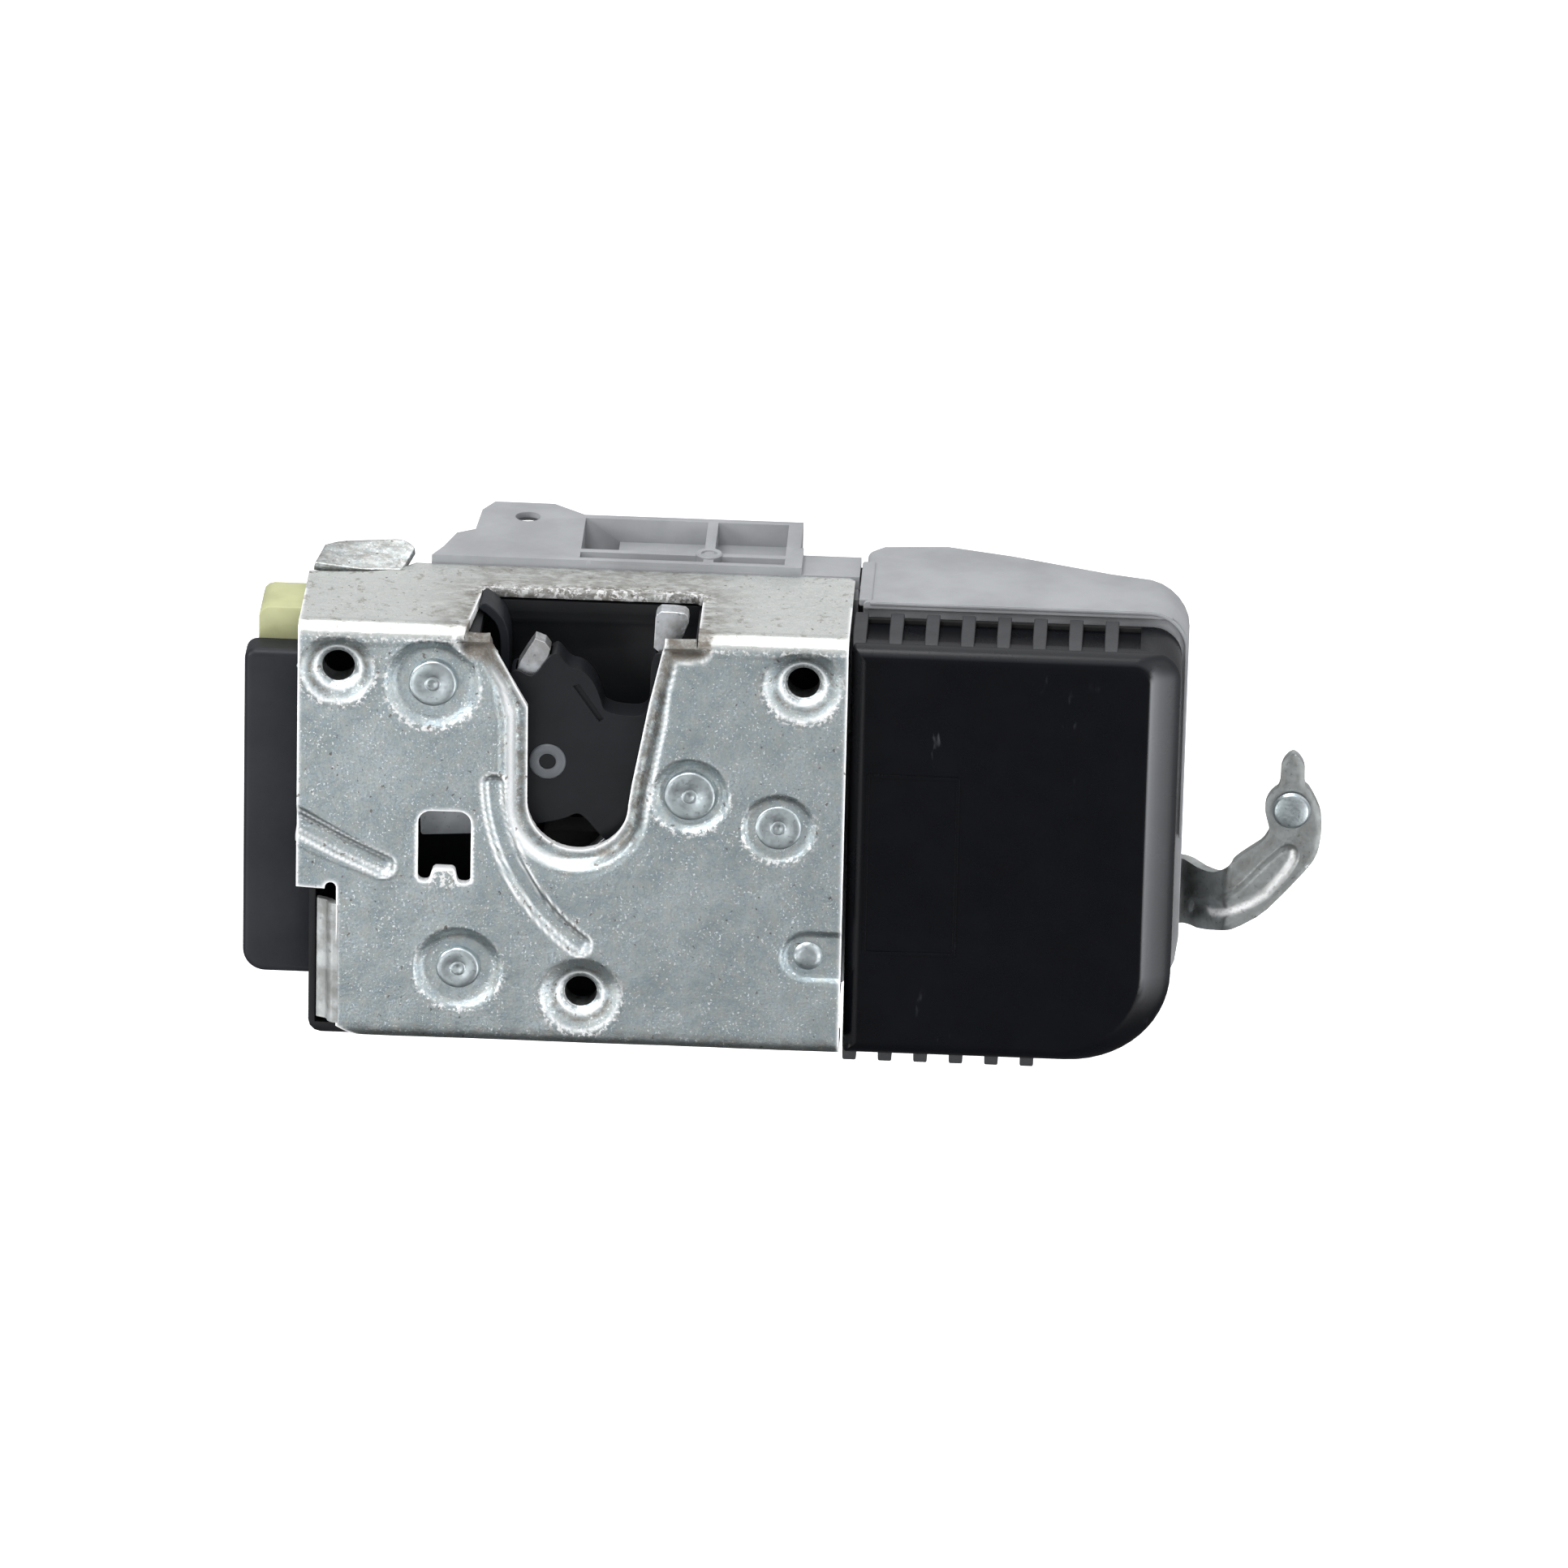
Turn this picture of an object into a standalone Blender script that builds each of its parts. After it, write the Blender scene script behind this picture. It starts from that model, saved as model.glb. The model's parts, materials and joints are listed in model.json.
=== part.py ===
"""Side-door latch with a central-locking actuator.

Run it with blender --background --python part.py, or from Blender's text editor. All sizes below are
in millimetres, and MM turns them into Blender's metres. X runs along the latch to the right, Y goes back
from the mounting face, and Z is up. The origin is on the mounting face, under the striker slot.
"""

import math

import bmesh
import bpy
from mathutils import Matrix, Vector

MM = 0.001
GAP = 0.3  # between neighbours that touch on the real object

# Latch plate
PLATE_LEFT, PLATE_RIGHT, PLATE_BOTTOM, PLATE_TOP = -43.8, 40.4, -21.8, 47.0
PLATE_THICKNESS = 1.6
TOP_FLANGE_DEPTH = 27.2
NOTCH_LEFT, NOTCH_RIGHT, NOTCH_DEPTH = -16.7, 17.4, 18.0
SLOT_CENTRE, SLOT_RADIUS = (-0.7, 18.0), 7.8
THREAD_RADIUS, COLLAR_RADIUS, COLLAR_DEPTH = 2.5, 4.4, 6.2
THREADS = {"left": (-37.7, 39.5, 5.7), "right": (33.6, 39.4, 6.4), "bottom": (0.3, -13.3, 6.6)}

# Pivots and rivets, as (x, z)
RELEASE_PIVOT = (-23.1, 37.7)
PAWL_PIVOT = (-18.7, -9.5)
CLAW_PIVOT = (16.6, 20.6)
STUD_PLACE = (30.3, 15.8)
RIVET_PLACE = (35.3, -5.4)
LOCK_PIVOT = (79.95, -3.85)
ROD_PIN = (109.0, 14.0)

# Depths of the layers behind the plate, front and back
CASE = (3.2, 19.5)
CASE_BACK_WALL = 17.9
CLAW_CORE = (7.0, 10.2)
CLAW_JACKET = (6.0, 11.2)
PAWL = (7.0, 10.4)
RELEASE_LEVER = (13.0, 15.0)
REAR_PLATE = (19.8, 21.4)
MAIN_HOUSING = (23.0, 36.0)
REAR_COVER = (36.3, 38.3)
ACTUATOR_COVER = (3.0, 15.6)
COVER_SEAL = (15.9, 16.9)
ACTUATOR_HOUSING = (17.2, 28.0)
LOCK_LEVER_BACK, LOCK_LEVER_FRONT, LOCK_LEVER_THICKNESS = 29.4, 21.0, 2.0
PIN_SHOULDER, PIN_SHOULDER_BACK, PIN_END, PIN_BACK = 4.0, 17.6, 3.0, 22.6

WALL = 1.8
HOUSING_TOP = 48.2
LUG_THICKNESS, LUG_HOLE = 2.4, (-11.4, 45.2)
SCREW_RADIUS, SCREW_HOLE_RADIUS, SCREW_HEAD_RADIUS = 1.3, 1.7, 2.9

# Gear train: module 1, a two-start worm on a 28-tooth wheel, and a 10-tooth pinion on a 36-tooth sector
MODULE = 1.0
WORM_RADIUS, WORM_STARTS = 3.5, 2
WHEEL_TEETH, PINION_TEETH, SECTOR_TEETH = 28, 10, 36
WORM_LEAD = math.pi * MODULE * WORM_STARTS
WHEEL_CENTRE = (74.5, 18.5)
MOTOR_AXIS = (WHEEL_CENTRE[0] - MODULE * WHEEL_TEETH / 2 - WORM_RADIUS, 16.5)
MOTOR_RADIUS, MOTOR_HALF_WIDTH, MOTOR_BOTTOM, MOTOR_TOP = 12.0, 9.0, -19.0, 3.0
WHEEL_DEPTH = (14.5, 18.5)
PINION_BACK = 25.0
SECTOR_DEPTH = (19.6, 24.2)

COVER_SCREWS = ((47.4, 40.0), (87.2, 31.0), (72.4, -18.0))
REAR_SCREWS = ((-20.4, -14.0), (-20.4, 30.4), (35.4, 30.4))
HOUSING_FEET = ((-8, -14), (26, -14), (0, 21), (34, 24))
RIB_WIDTH, RIB_PITCH, FIRST_RIB = 2.1, 5.5, 41.9
TOP_RIBS, BOTTOM_RIBS = 8, 6


# Scene, materials and bodies


def clear_scene():
    for old in list(bpy.data.objects):
        bpy.data.objects.remove(old, do_unlink=True)


def finish_material(name, colour, roughness, metallic):
    material = bpy.data.materials.new(name)
    material.use_nodes = True
    shader = material.node_tree.nodes["Principled BSDF"]
    shader.inputs["Base Color"].default_value = (*colour, 1.0)
    shader.inputs["Roughness"].default_value = roughness
    shader.inputs["Metallic"].default_value = metallic
    material.diffuse_color = (*colour, 1.0)
    return material


def make_materials():
    return {
        "zinc_steel": finish_material("zinc_steel", (0.62, 0.63, 0.60), 0.38, 1.0),
        "bare_steel": finish_material("bare_steel", (0.55, 0.56, 0.56), 0.32, 1.0),
        "lever_steel": finish_material("lever_steel", (0.45, 0.46, 0.41), 0.45, 0.9),
        "spring_steel": finish_material("spring_steel", (0.30, 0.30, 0.31), 0.35, 1.0),
        "black_plastic": finish_material("black_plastic", (0.012, 0.014, 0.018), 0.4, 0.0),
        "case_plastic": finish_material("case_plastic", (0.02, 0.022, 0.025), 0.5, 0.0),
        "grey_plastic": finish_material("grey_plastic", (0.30, 0.30, 0.32), 0.55, 0.0),
        "jacket_plastic": finish_material("jacket_plastic", (0.03, 0.035, 0.042), 0.45, 0.0),
        "natural_nylon": finish_material("natural_nylon", (0.62, 0.58, 0.30), 0.45, 0.0),
        "gear_plastic": finish_material("gear_plastic", (0.75, 0.74, 0.70), 0.4, 0.0),
        "brass": finish_material("brass", (0.70, 0.52, 0.24), 0.3, 1.0),
        "rubber": finish_material("rubber", (0.015, 0.015, 0.015), 0.8, 0.0),
    }


def make_body(name, pivot, depth):
    """An empty on a joint's axis, which the body's pieces hang from."""
    empty = bpy.data.objects.new(name + "_axis", None)
    empty.location = Vector((pivot[0], depth, pivot[1])) * MM
    PARTS.objects.link(empty)
    return empty


def keep(name, shape, material, body=None):
    """Names a finished shape, gives it its material, and hangs it from its body."""
    shape.name = name
    shape.data.name = name
    shape.data.materials.clear()
    shape.data.materials.append(MATERIALS[material])
    shape.data.shade_smooth()
    shape.data.set_sharp_from_angle(angle=math.radians(30))
    if body:
        shape.parent = body
        shape.matrix_parent_inverse = Matrix.Translation(body.location).inverted()
    return shape


# Outlines: closed loops of points in millimetres, counter-clockwise


def arc(centre, radius, first, last, steps):
    """Points on an arc, from angle first to angle last in degrees."""
    angles = [math.radians(first + (last - first) * step / steps) for step in range(steps + 1)]
    return [(centre[0] + radius * math.cos(a), centre[1] + radius * math.sin(a)) for a in angles]


def polar(centre, radius, angle):
    return arc(centre, radius, angle, angle, 1)[0]


def circle(centre, radius, steps=16):
    return arc(centre, radius, 0, 360, steps)[:-1]


def rounded(corners, steps=3):
    """A loop through corners given as (x, z, radius), each with that round."""
    loop = []
    for index, (x, z, radius) in enumerate(corners):
        corner = Vector((x, z))
        to_before = (Vector(corners[index - 1][:2]) - corner).normalized()
        to_after = (Vector(corners[(index + 1) % len(corners)][:2]) - corner).normalized()
        if radius == 0:
            loop.append((x, z))
            continue
        half = to_before.angle(to_after) / 2
        centre = corner + (to_before + to_after).normalized() * (radius / math.sin(half))
        start = corner + to_before * (radius / math.tan(half)) - centre
        turn = start.angle_signed(corner + to_after * (radius / math.tan(half)) - centre)
        for step in range(steps + 1):
            spoke = start.copy()
            spoke.rotate(Matrix.Rotation(-turn * step / steps, 2))
            loop.append(tuple(centre + spoke))
    return loop


def rectangle(left, right, low, high, radius=0.0, steps=3):
    corners = ((left, low), (right, low), (right, high), (left, high))
    return rounded([(*corner, radius) for corner in corners], steps)


def moved_out(loop, distance, closed=True):
    """The loop with every side moved out by the distance, or in where it is negative."""
    result = []
    for index, point in enumerate(loop):
        here = Vector(point)
        before = Vector(loop[index - 1])
        after = Vector(loop[(index + 1) % len(loop)])
        if not closed and index == 0:
            before = here - (after - here)
        if not closed and index == len(loop) - 1:
            after = here + (here - before)
        side_in = (here - before).normalized()
        side_out = (after - here).normalized()
        normal = (Vector((side_in.y, -side_in.x)) + Vector((side_out.y, -side_out.x))).normalized()
        stretch = max(0.5, normal.dot(Vector((side_in.y, -side_in.x))))
        result.append(tuple(here + normal * (distance / stretch)))
    return result


def band(centre, radius, width, first, last, steps=12):
    """A strip along an arc, with round ends."""
    outer = arc(centre, radius + width / 2, first, last, steps)
    inner = arc(centre, radius - width / 2, last, first, steps)
    end = arc(polar(centre, radius, last), width / 2, last, last + 180, 5)[1:-1]
    start = arc(polar(centre, radius, first), width / 2, first + 180, first + 360, 5)[1:-1]
    return outer + end + inner + start


def gear_loop(centre, teeth, root, tip, phase, first=0, last=360):
    """Straight-sided teeth, one of them centred on the phase angle, from angle first to angle last."""
    pitch = 360 / teeth
    root_share, tip_share = 0.27, 0.13
    loop = []
    for number in range(math.ceil((first - phase) / pitch), math.ceil((last - phase) / pitch)):
        middle = phase + number * pitch
        loop.append(polar(centre, root, middle - root_share * pitch))
        loop.append(polar(centre, tip, middle - tip_share * pitch))
        loop.append(polar(centre, tip, middle + tip_share * pitch))
        loop.append(polar(centre, root, middle + root_share * pitch))
    return loop


# Solids


def new_object(mesh):
    shape = bpy.data.objects.new("shape", mesh)
    PARTS.objects.link(shape)
    return shape


def mesh_from(builder):
    """A new object whose mesh the given function builds with bmesh."""
    mesh = bpy.data.meshes.new("shape")
    work = bmesh.new()
    builder(work)
    bmesh.ops.recalc_face_normals(work, faces=work.faces)
    work.to_mesh(mesh)
    work.free()
    return new_object(mesh)


def baked(source):
    """A mesh object with the evaluated shape of a curve, or of an object with modifiers."""
    bpy.context.view_layer.update()
    graph = bpy.context.evaluated_depsgraph_get()
    mesh = bpy.data.meshes.new_from_object(source.evaluated_get(graph))
    mesh.transform(source.matrix_world)
    work = bmesh.new()
    work.from_mesh(mesh)
    bmesh.ops.remove_doubles(work, verts=work.verts, dist=0.002 * MM)
    bmesh.ops.recalc_face_normals(work, faces=work.faces)
    work.to_mesh(mesh)
    work.free()
    bpy.data.objects.remove(source, do_unlink=True)
    return new_object(mesh)


FACING = {
    "X": Matrix(((0, 0, 1, 0), (1, 0, 0, 0), (0, 1, 0, 0), (0, 0, 0, 1))),
    "Y": Matrix(((1, 0, 0, 0), (0, 0, -1, 0), (0, 1, 0, 0), (0, 0, 0, 1))),
    "Z": Matrix.Identity(4),
}


def prism(loops, low, high, axis="Y"):
    """A flat outline, with any holes as further loops, from low to high along an axis.

    The loops hold (x, z) for axis Y, (x, y) for axis Z, and (y, z) for axis X.
    """
    curve = bpy.data.curves.new("outline", "CURVE")
    curve.dimensions = "2D"
    curve.fill_mode = "BOTH"
    curve.extrude = (high - low) / 2 * MM
    for loop in loops:
        spline = curve.splines.new("POLY")
        spline.points.add(len(loop) - 1)
        spline.use_cyclic_u = True
        for point, (across, up) in zip(spline.points, loop):
            point.co = (across * MM, up * MM, 0, 1)
    outline = new_object(curve)
    middle = (low + high) / 2 * MM
    place = {"X": (middle, 0, 0), "Y": (0, middle, 0), "Z": (0, 0, middle)}[axis]
    outline.matrix_world = Matrix.Translation(place) @ FACING[axis]
    return baked(outline)


def box(left, right, front, back, low, high):
    middle = Vector((left + right, front + back, low + high)) * (MM / 2)
    sides = Vector((right - left, back - front, high - low)) * MM
    place = Matrix.Translation(middle) @ Matrix.Diagonal((*sides, 1.0))
    return mesh_from(lambda work: bmesh.ops.create_cube(work, size=1.0, matrix=place))


def drum(place, radius, low, high, axis="Y", end_radius=None, sides=16):
    """A cylinder along an axis, or a cone where end_radius differs, at its place across that axis."""
    middle = (low + high) / 2
    centre = {
        "X": (middle, place[0], place[1]),
        "Y": (place[0], middle, place[1]),
        "Z": (place[0], place[1], middle),
    }[axis]
    turned = {
        "X": Matrix.Rotation(math.pi / 2, 4, "Y"),
        "Y": Matrix.Rotation(-math.pi / 2, 4, "X"),
        "Z": Matrix.Identity(4),
    }[axis]
    where = Matrix.Translation(Vector(centre) * MM) @ turned
    end = radius if end_radius is None else end_radius
    return mesh_from(
        lambda work: bmesh.ops.create_cone(
            work,
            cap_ends=True,
            segments=sides,
            radius1=radius * MM,
            radius2=end * MM,
            depth=(high - low) * MM,
            matrix=where,
        )
    )


def turned_pin(place, profile, sides=16):
    """A solid turned about a line along Y through the place, from its profile of (radius, y)."""
    mesh = bpy.data.meshes.new("profile")
    points = [(radius * MM, y * MM, 0) for radius, y in profile]
    mesh.from_pydata(points, [(index, index + 1) for index in range(len(points) - 1)], [])
    shape = new_object(mesh)
    shape.location = (place[0] * MM, 0, place[1] * MM)
    screw = shape.modifiers.new("turn", "SCREW")
    screw.axis = "Y"
    screw.steps = sides
    screw.render_steps = sides
    screw.use_merge_vertices = True
    screw.merge_threshold = 1e-6
    return baked(shape)


def loft(layers, axis="Y"):
    """A solid through loops of equal length, given as (loop, level along the axis)."""

    def build(work):
        rings = []
        for loop, level in layers:
            points = [(a, level, b) if axis == "Y" else (a, b, level) for a, b in loop]
            rings.append([work.verts.new(Vector(point) * MM) for point in points])
        for ring, following in zip(rings, rings[1:]):
            for index in range(len(ring)):
                after = (index + 1) % len(ring)
                work.faces.new((ring[index], ring[after], following[after], following[index]))
        work.faces.new(rings[0])
        work.faces.new(rings[-1])

    return mesh_from(build)


def combine(shape, tools, operation):
    for tool in tools:
        modifier = shape.modifiers.new("combine", "BOOLEAN")
        modifier.solver = "EXACT"
        modifier.operation = operation
        modifier.object = tool
        shape = baked(shape)
        bpy.data.objects.remove(tool, do_unlink=True)
    return shape


def joined(shape, *tools):
    return combine(shape, tools, "UNION")


def cut(shape, *tools):
    return combine(shape, tools, "DIFFERENCE")


def coil(place, radius, wire, first_depth, last_depth, turns, first_angle, leg):
    """A torsion spring round a line along Y, with a straight leg off each end."""
    steps = round(turns * 10)
    route = []
    for step in range(steps + 1):
        x, z = polar(place, radius, first_angle + 360 * turns * step / steps)
        route.append(Vector((x, first_depth + (last_depth - first_depth) * step / steps, z)))
    for index, sense, angle in ((0, -1, first_angle), (len(route), 1, first_angle + 360 * turns)):
        x, z = polar((0, 0), leg, angle + sense * 90)
        end = route[0 if sense < 0 else -1] + Vector((x, 0, z))
        route.insert(index + (sense > 0), end)
    curve = bpy.data.curves.new("wire", "CURVE")
    curve.dimensions = "3D"
    curve.bevel_depth = wire / 2 * MM
    curve.bevel_resolution = 1
    curve.use_fill_caps = True
    spline = curve.splines.new("POLY")
    spline.points.add(len(route) - 1)
    for point, where in zip(spline.points, route):
        point.co = (*(where * MM), 1)
    return baked(new_object(curve))


# Latch plate


def slot_edge(grow=0.0):
    """The striker slot's edge, from its top right round the bottom to its top left."""
    edge = [(17.5, 45.3), (12.0, 44.7), (10.0, 34.9), (7.6, 21.5)]
    edge += arc(SLOT_CENTRE, SLOT_RADIUS, 0, -180, 12)
    edge += [(-8.6, 33.5), (-14.5, 44.4), (-18.4, 44.4)]
    return moved_out(edge, -grow, closed=False)


def plate_outline():
    bottom_left = [(-35.0, PLATE_BOTTOM), (PLATE_RIGHT, PLATE_BOTTOM), (PLATE_RIGHT, PLATE_TOP)]
    top_left = [(-18.4, PLATE_TOP), (PLATE_LEFT, PLATE_TOP)]
    left_side = [(PLATE_LEFT, 3.1), (-38.9, 3.1), (-38.0, 2.6), (-37.5, 1.2), (-37.5, -19.9)]
    return bottom_left + [(17.5, PLATE_TOP)] + slot_edge() + top_left + left_side


def dimple(plate, place, radius, hole, floor_radius):
    """A round recess pressed into the plate, with its bulge behind and a hole through its floor."""
    depth = 1.2
    bulge = drum(place, radius + 0.8, 0.9, PLATE_THICKNESS + depth, end_radius=floor_radius + 1.0)
    recess = drum(place, radius, -0.01, depth, end_radius=floor_radius)
    plate = joined(plate, bulge)
    return cut(plate, recess, drum(place, hole, -1, 9))


def make_latch_plate():
    window = rounded([(-25.1, 5.4, 1), (-16.9, 5.4, 1), (-16.9, 16.2, 2.4), (-25.1, 16.2, 2.4)])
    plate = prism([plate_outline(), window], 0, PLATE_THICKNESS)
    rim = slot_edge() + slot_edge(1.6)[::-1]
    top = [
        (PLATE_LEFT, 0),
        (-18.4, 0),
        (-18.4, 2),
        (NOTCH_LEFT, 3),
        (NOTCH_LEFT, NOTCH_DEPTH),
        (NOTCH_RIGHT, NOTCH_DEPTH),
        (NOTCH_RIGHT, 0),
        (PLATE_RIGHT, 0),
        (PLATE_RIGHT, TOP_FLANGE_DEPTH),
        (PLATE_LEFT, TOP_FLANGE_DEPTH),
    ]
    ear = [(24.0, 45.8), (31.0, 48.0), (31.0, 49.6), (24.0, 47.4)]
    side_flange = [(-37.5, 0.3), (-36.0, 0.3), (-37.2, 2.8), (-39.6, 5.1), (-40.5, 4.0), (-38.4, 1.8)]
    plate = joined(
        plate,
        prism([rim], 1.0, 3.2),
        prism([top], PLATE_TOP - PLATE_THICKNESS, PLATE_TOP, "Z"),
        prism([ear], -42.4, -27.4, "X"),
        box(-33, PLATE_RIGHT, 0.2, 9, PLATE_BOTTOM, PLATE_BOTTOM + PLATE_THICKNESS),
        prism([side_flange], -19.5, 0.8, "Z"),
        box(-22.9, -19.4, 0, PLATE_THICKNESS, 4.6, 7.3),
    )
    plate = joined(plate, *[drum(spot[:2], COLLAR_RADIUS, 1.0, COLLAR_DEPTH) for spot in THREADS.values()])
    for x, z, radius in THREADS.values():
        plate = dimple(plate, (x, z), radius, THREAD_RADIUS, 3.4)
    for place, radius, hole in ((RELEASE_PIVOT, 7.0, 2.9), (PAWL_PIVOT, 6.6, 2.9), (CLAW_PIVOT, 6.3, 2.9)):
        plate = dimple(plate, place, radius, hole, 5.2)
    plate = dimple(plate, STUD_PLACE, 5.4, 2.4, 4.9)
    rivet_recess = rounded([(31.2, -9.9, 4.3), (45, -9.9, 0), (45, -1.0, 0), (31.2, -1.0, 4.3)], 5)
    long_bead = band((21.2, 22.9), 34.8, 3.8, 182, 233.5)
    left_bead = [(-46, 11.1), (-43, 11.1), (-31.6, 4.9)] + arc((-29.9, 7.0), 2.5, 230, 400, 6)
    left_bead += [(-35.0, 14.0), (-43, 17.9), (-46, 17.9)]
    plate = cut(
        plate,
        prism([rivet_recess], -1, 0.8),
        prism([long_bead], -1, 0.7),
        prism([left_bead], -1, 0.7),
        drum(RIVET_PLACE, 1.6, -1, 9),
    )
    keep("latch_plate", plate, "zinc_steel")


# Pins and rivets


def make_pins():
    """Shouldered pins, set in the plate's dimples and riveted over behind the rear plate."""
    for name, place, head in (
        ("release_pin", RELEASE_PIVOT, 3.8),
        ("pawl_pin", PAWL_PIVOT, 3.5),
        ("claw_pin", CLAW_PIVOT, 4.1),
        ("spacer_stud", STUD_PLACE, 3.7),
    ):
        neck = 2.0 if name == "spacer_stud" else 2.6
        profile = [
            (0, 0.25),
            (head - 0.4, 0.25),
            (head, 0.55),
            (head, 0.9),
            (neck, 0.9),
            (neck, 3.1),
            (PIN_SHOULDER, 3.1),
            (PIN_SHOULDER, PIN_SHOULDER_BACK),
            (PIN_END, PIN_SHOULDER_BACK),
            (PIN_END, REAR_PLATE[1] + GAP),
            (3.9, REAR_PLATE[1] + GAP),
            (3.6, PIN_BACK),
            (0, PIN_BACK),
        ]
        keep(name, turned_pin(place, profile), "bare_steel")
    head = [(0, 0), (1.9, 0), (2.3, 0.45), (1.3, 0.5)]
    tail = [(1.3, REAR_PLATE[1] + GAP), (2.2, REAR_PLATE[1] + GAP), (1.9, PIN_BACK), (0, PIN_BACK)]
    keep("case_rivet", turned_pin(RIVET_PLACE, head + tail), "bare_steel")


# Case, side cover and rear plate


def make_latch_case():
    left, right, low, high = -42.0, 40.0, -19.8, 45.0
    outer = rounded(
        [
            (left, -22.2, 2),
            (-35.4, -22.2, 0),
            (-34.4, low, 0),
            (right, low, 1.5),
            (right, high, 1.5),
            (left, high, 1.5),
        ]
    )
    case = prism([outer], *CASE)
    cavity = rectangle(left + WALL, right - WALL, low + WALL, high - WALL, 1)
    mouth = box(NOTCH_LEFT + 0.5, NOTCH_RIGHT - 0.5, 0, CASE_BACK_WALL, 40, 50)
    lever_slot = box(-44, -39, 12.4, 15.6, 29, 44.4)
    flange_room = box(-41.0, -35, 2, 8.8, -20.6, 2.0)
    case = cut(case, prism([cavity], 2, CASE_BACK_WALL), mouth, lever_slot, flange_room)
    for place in (RELEASE_PIVOT, PAWL_PIVOT, CLAW_PIVOT, STUD_PLACE):
        case = cut(case, drum(place, 3.4, 10, 22))
    post = drum(RIVET_PLACE, 3.2, 4, 18.6)
    case = joined(case, post)
    case = cut(case, drum(RIVET_PLACE, 1.7, 0, 22))
    rooms = [drum(spot[:2], COLLAR_RADIUS + 1, 2, COLLAR_DEPTH + 0.5) for spot in THREADS.values()]
    keep("latch_case", cut(case, *rooms), "case_plastic")


def make_side_cover():
    left, right, low, high, front = -52.5, -42.4, -13.8, 40.0, 6.0
    outline = rounded([(left, low, 3), (right, low, 0.6), (right, high, 0.6), (left, high, 1.6)])
    cover = loft([(moved_out(outline, -0.55), front), (outline, front + 0.8), (outline, 11.0)])
    cover = cut(cover, box(left + 1.6, right + 5, front + 1.8, 12, low + 1.6, high - 1.6))
    cover = joined(
        cover,
        box(left, left + 1.5, 10, 24, low + 2.4, 27),
        box(left + 3.0, right, 10, 24, low, low + 1.5),
        box(left + 3.0, right, 6.8, 24, 8.0, 9.5),
        box(left + 0.4, left + 4.6, 22.5, 24, low + 0.5, 26),
    )
    keep("side_cover", cover, "black_plastic")


def make_rear_plate():
    outline = rounded(
        [(-39, -17.5, 3), (38, -17.5, 3), (38, 36, 3), (30, 43.5, 3), (-30, 43.5, 3), (-39, 36, 3)]
    )
    holes = [circle(place, 3.3, 20) for place in (RELEASE_PIVOT, PAWL_PIVOT, CLAW_PIVOT, STUD_PLACE)]
    holes.append(circle(RIVET_PLACE, 1.7, 16))
    holes.append(rectangle(-9, 9, 24, 40, 2))
    keep("rear_plate", prism([outline] + holes, *REAR_PLATE), "zinc_steel")


def make_slot_bumper():
    outline = rounded([(-6.5, 3.2, 1.2), (5.1, 3.2, 1.2), (5.1, 9.4, 1.2), (-6.5, 9.4, 1.2)])
    keep("slot_bumper", prism([outline], 12.2, CASE_BACK_WALL - GAP), "rubber")


# Claw, its jacket and its spring


def claw_jacket_outline():
    """The plastic jacket, seen from the front with the claw open."""
    outline = [(-4.4, 41.4), (-5.7, 40.6), (-8.1, 36.9), (-10.6, 38.3)]
    outline += [polar(CLAW_PIVOT, *spoke) for spoke in ((33.0, 149), (29.8, 161), (27.4, 173))]
    outline += arc(CLAW_PIVOT, 26.0, 184, 198, 2)
    outline += [(-3.0, 13.8), (-0.8, 15.0), (0.8, 13.6), (2.5, 11.5), (3.8, 10.2), (6.0, 12.6)]
    outline += arc(CLAW_PIVOT, 9.5, 232, 400, 12)
    outline += [(21.0, 33.0), (16.8, 38.5), (12.9, 42.0), (10.0, 41.6)]
    outline += [(9.9, 32.6), (8.5, 31.2), (4.6, 31.4), (2.8, 32.2), (2.3, 34.0), (1.3, 36.6)]
    return outline + [(-0.4, 38.5), (-2.6, 39.0)]


def claw_core_outline():
    """The steel fork: bare at both tips and at its ratchet tooth, and inside the jacket elsewhere."""
    outline = [(-5.5, 41.4), (-7.9, 43.1), (-10.4, 38.9), (-10.7, 37.0)]
    outline += [polar(CLAW_PIVOT, *spoke) for spoke in ((30.6, 152), (27.6, 163), (25.4, 175))]
    outline += arc(CLAW_PIVOT, 24.4, 184, 196, 2)
    outline += [(-2.6, 15.4), (0.0, 16.8), (2.6, 14.6), (4.2, 11.4)]
    outline += arc(CLAW_PIVOT, 22.2, 219.5, 250, 4)
    outline += [(14.2, 11.8)]
    outline += arc(CLAW_PIVOT, 8.0, 260, 398, 10)
    outline += [(19.6, 32.2), (15.5, 37.4), (13.5, 41.4), (14.9, 44.5), (15.6, 46.6), (15.0, 48.1)]
    outline += [(11.3, 48.3), (10.5, 47.2), (10.3, 42.3), (11.3, 41.4), (11.4, 31.6), (9.4, 29.8)]
    return outline + [(4.2, 30.0), (1.4, 31.4), (0.9, 33.8), (-0.4, 36.0), (-3.4, 37.4), (-5.9, 39.6)]


def make_claw(body):
    core = claw_core_outline()
    jacket = prism([claw_jacket_outline(), circle(CLAW_PIVOT, 4.3)], *CLAW_JACKET)
    room = prism([moved_out(core, GAP)], CLAW_CORE[0] - GAP, CLAW_CORE[1] + GAP)
    boss = drum((-5.65, 23.3), 2.9, 5.7, 6.4, sides=16)
    jacket = joined(cut(jacket, room), boss)
    keep("claw_jacket", cut(jacket, drum(CLAW_PIVOT, 4.3, 0, 20)), "jacket_plastic", body)
    keep("claw_core", prism([core, circle(CLAW_PIVOT, 4.3)], *CLAW_CORE), "bare_steel", body)


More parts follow.
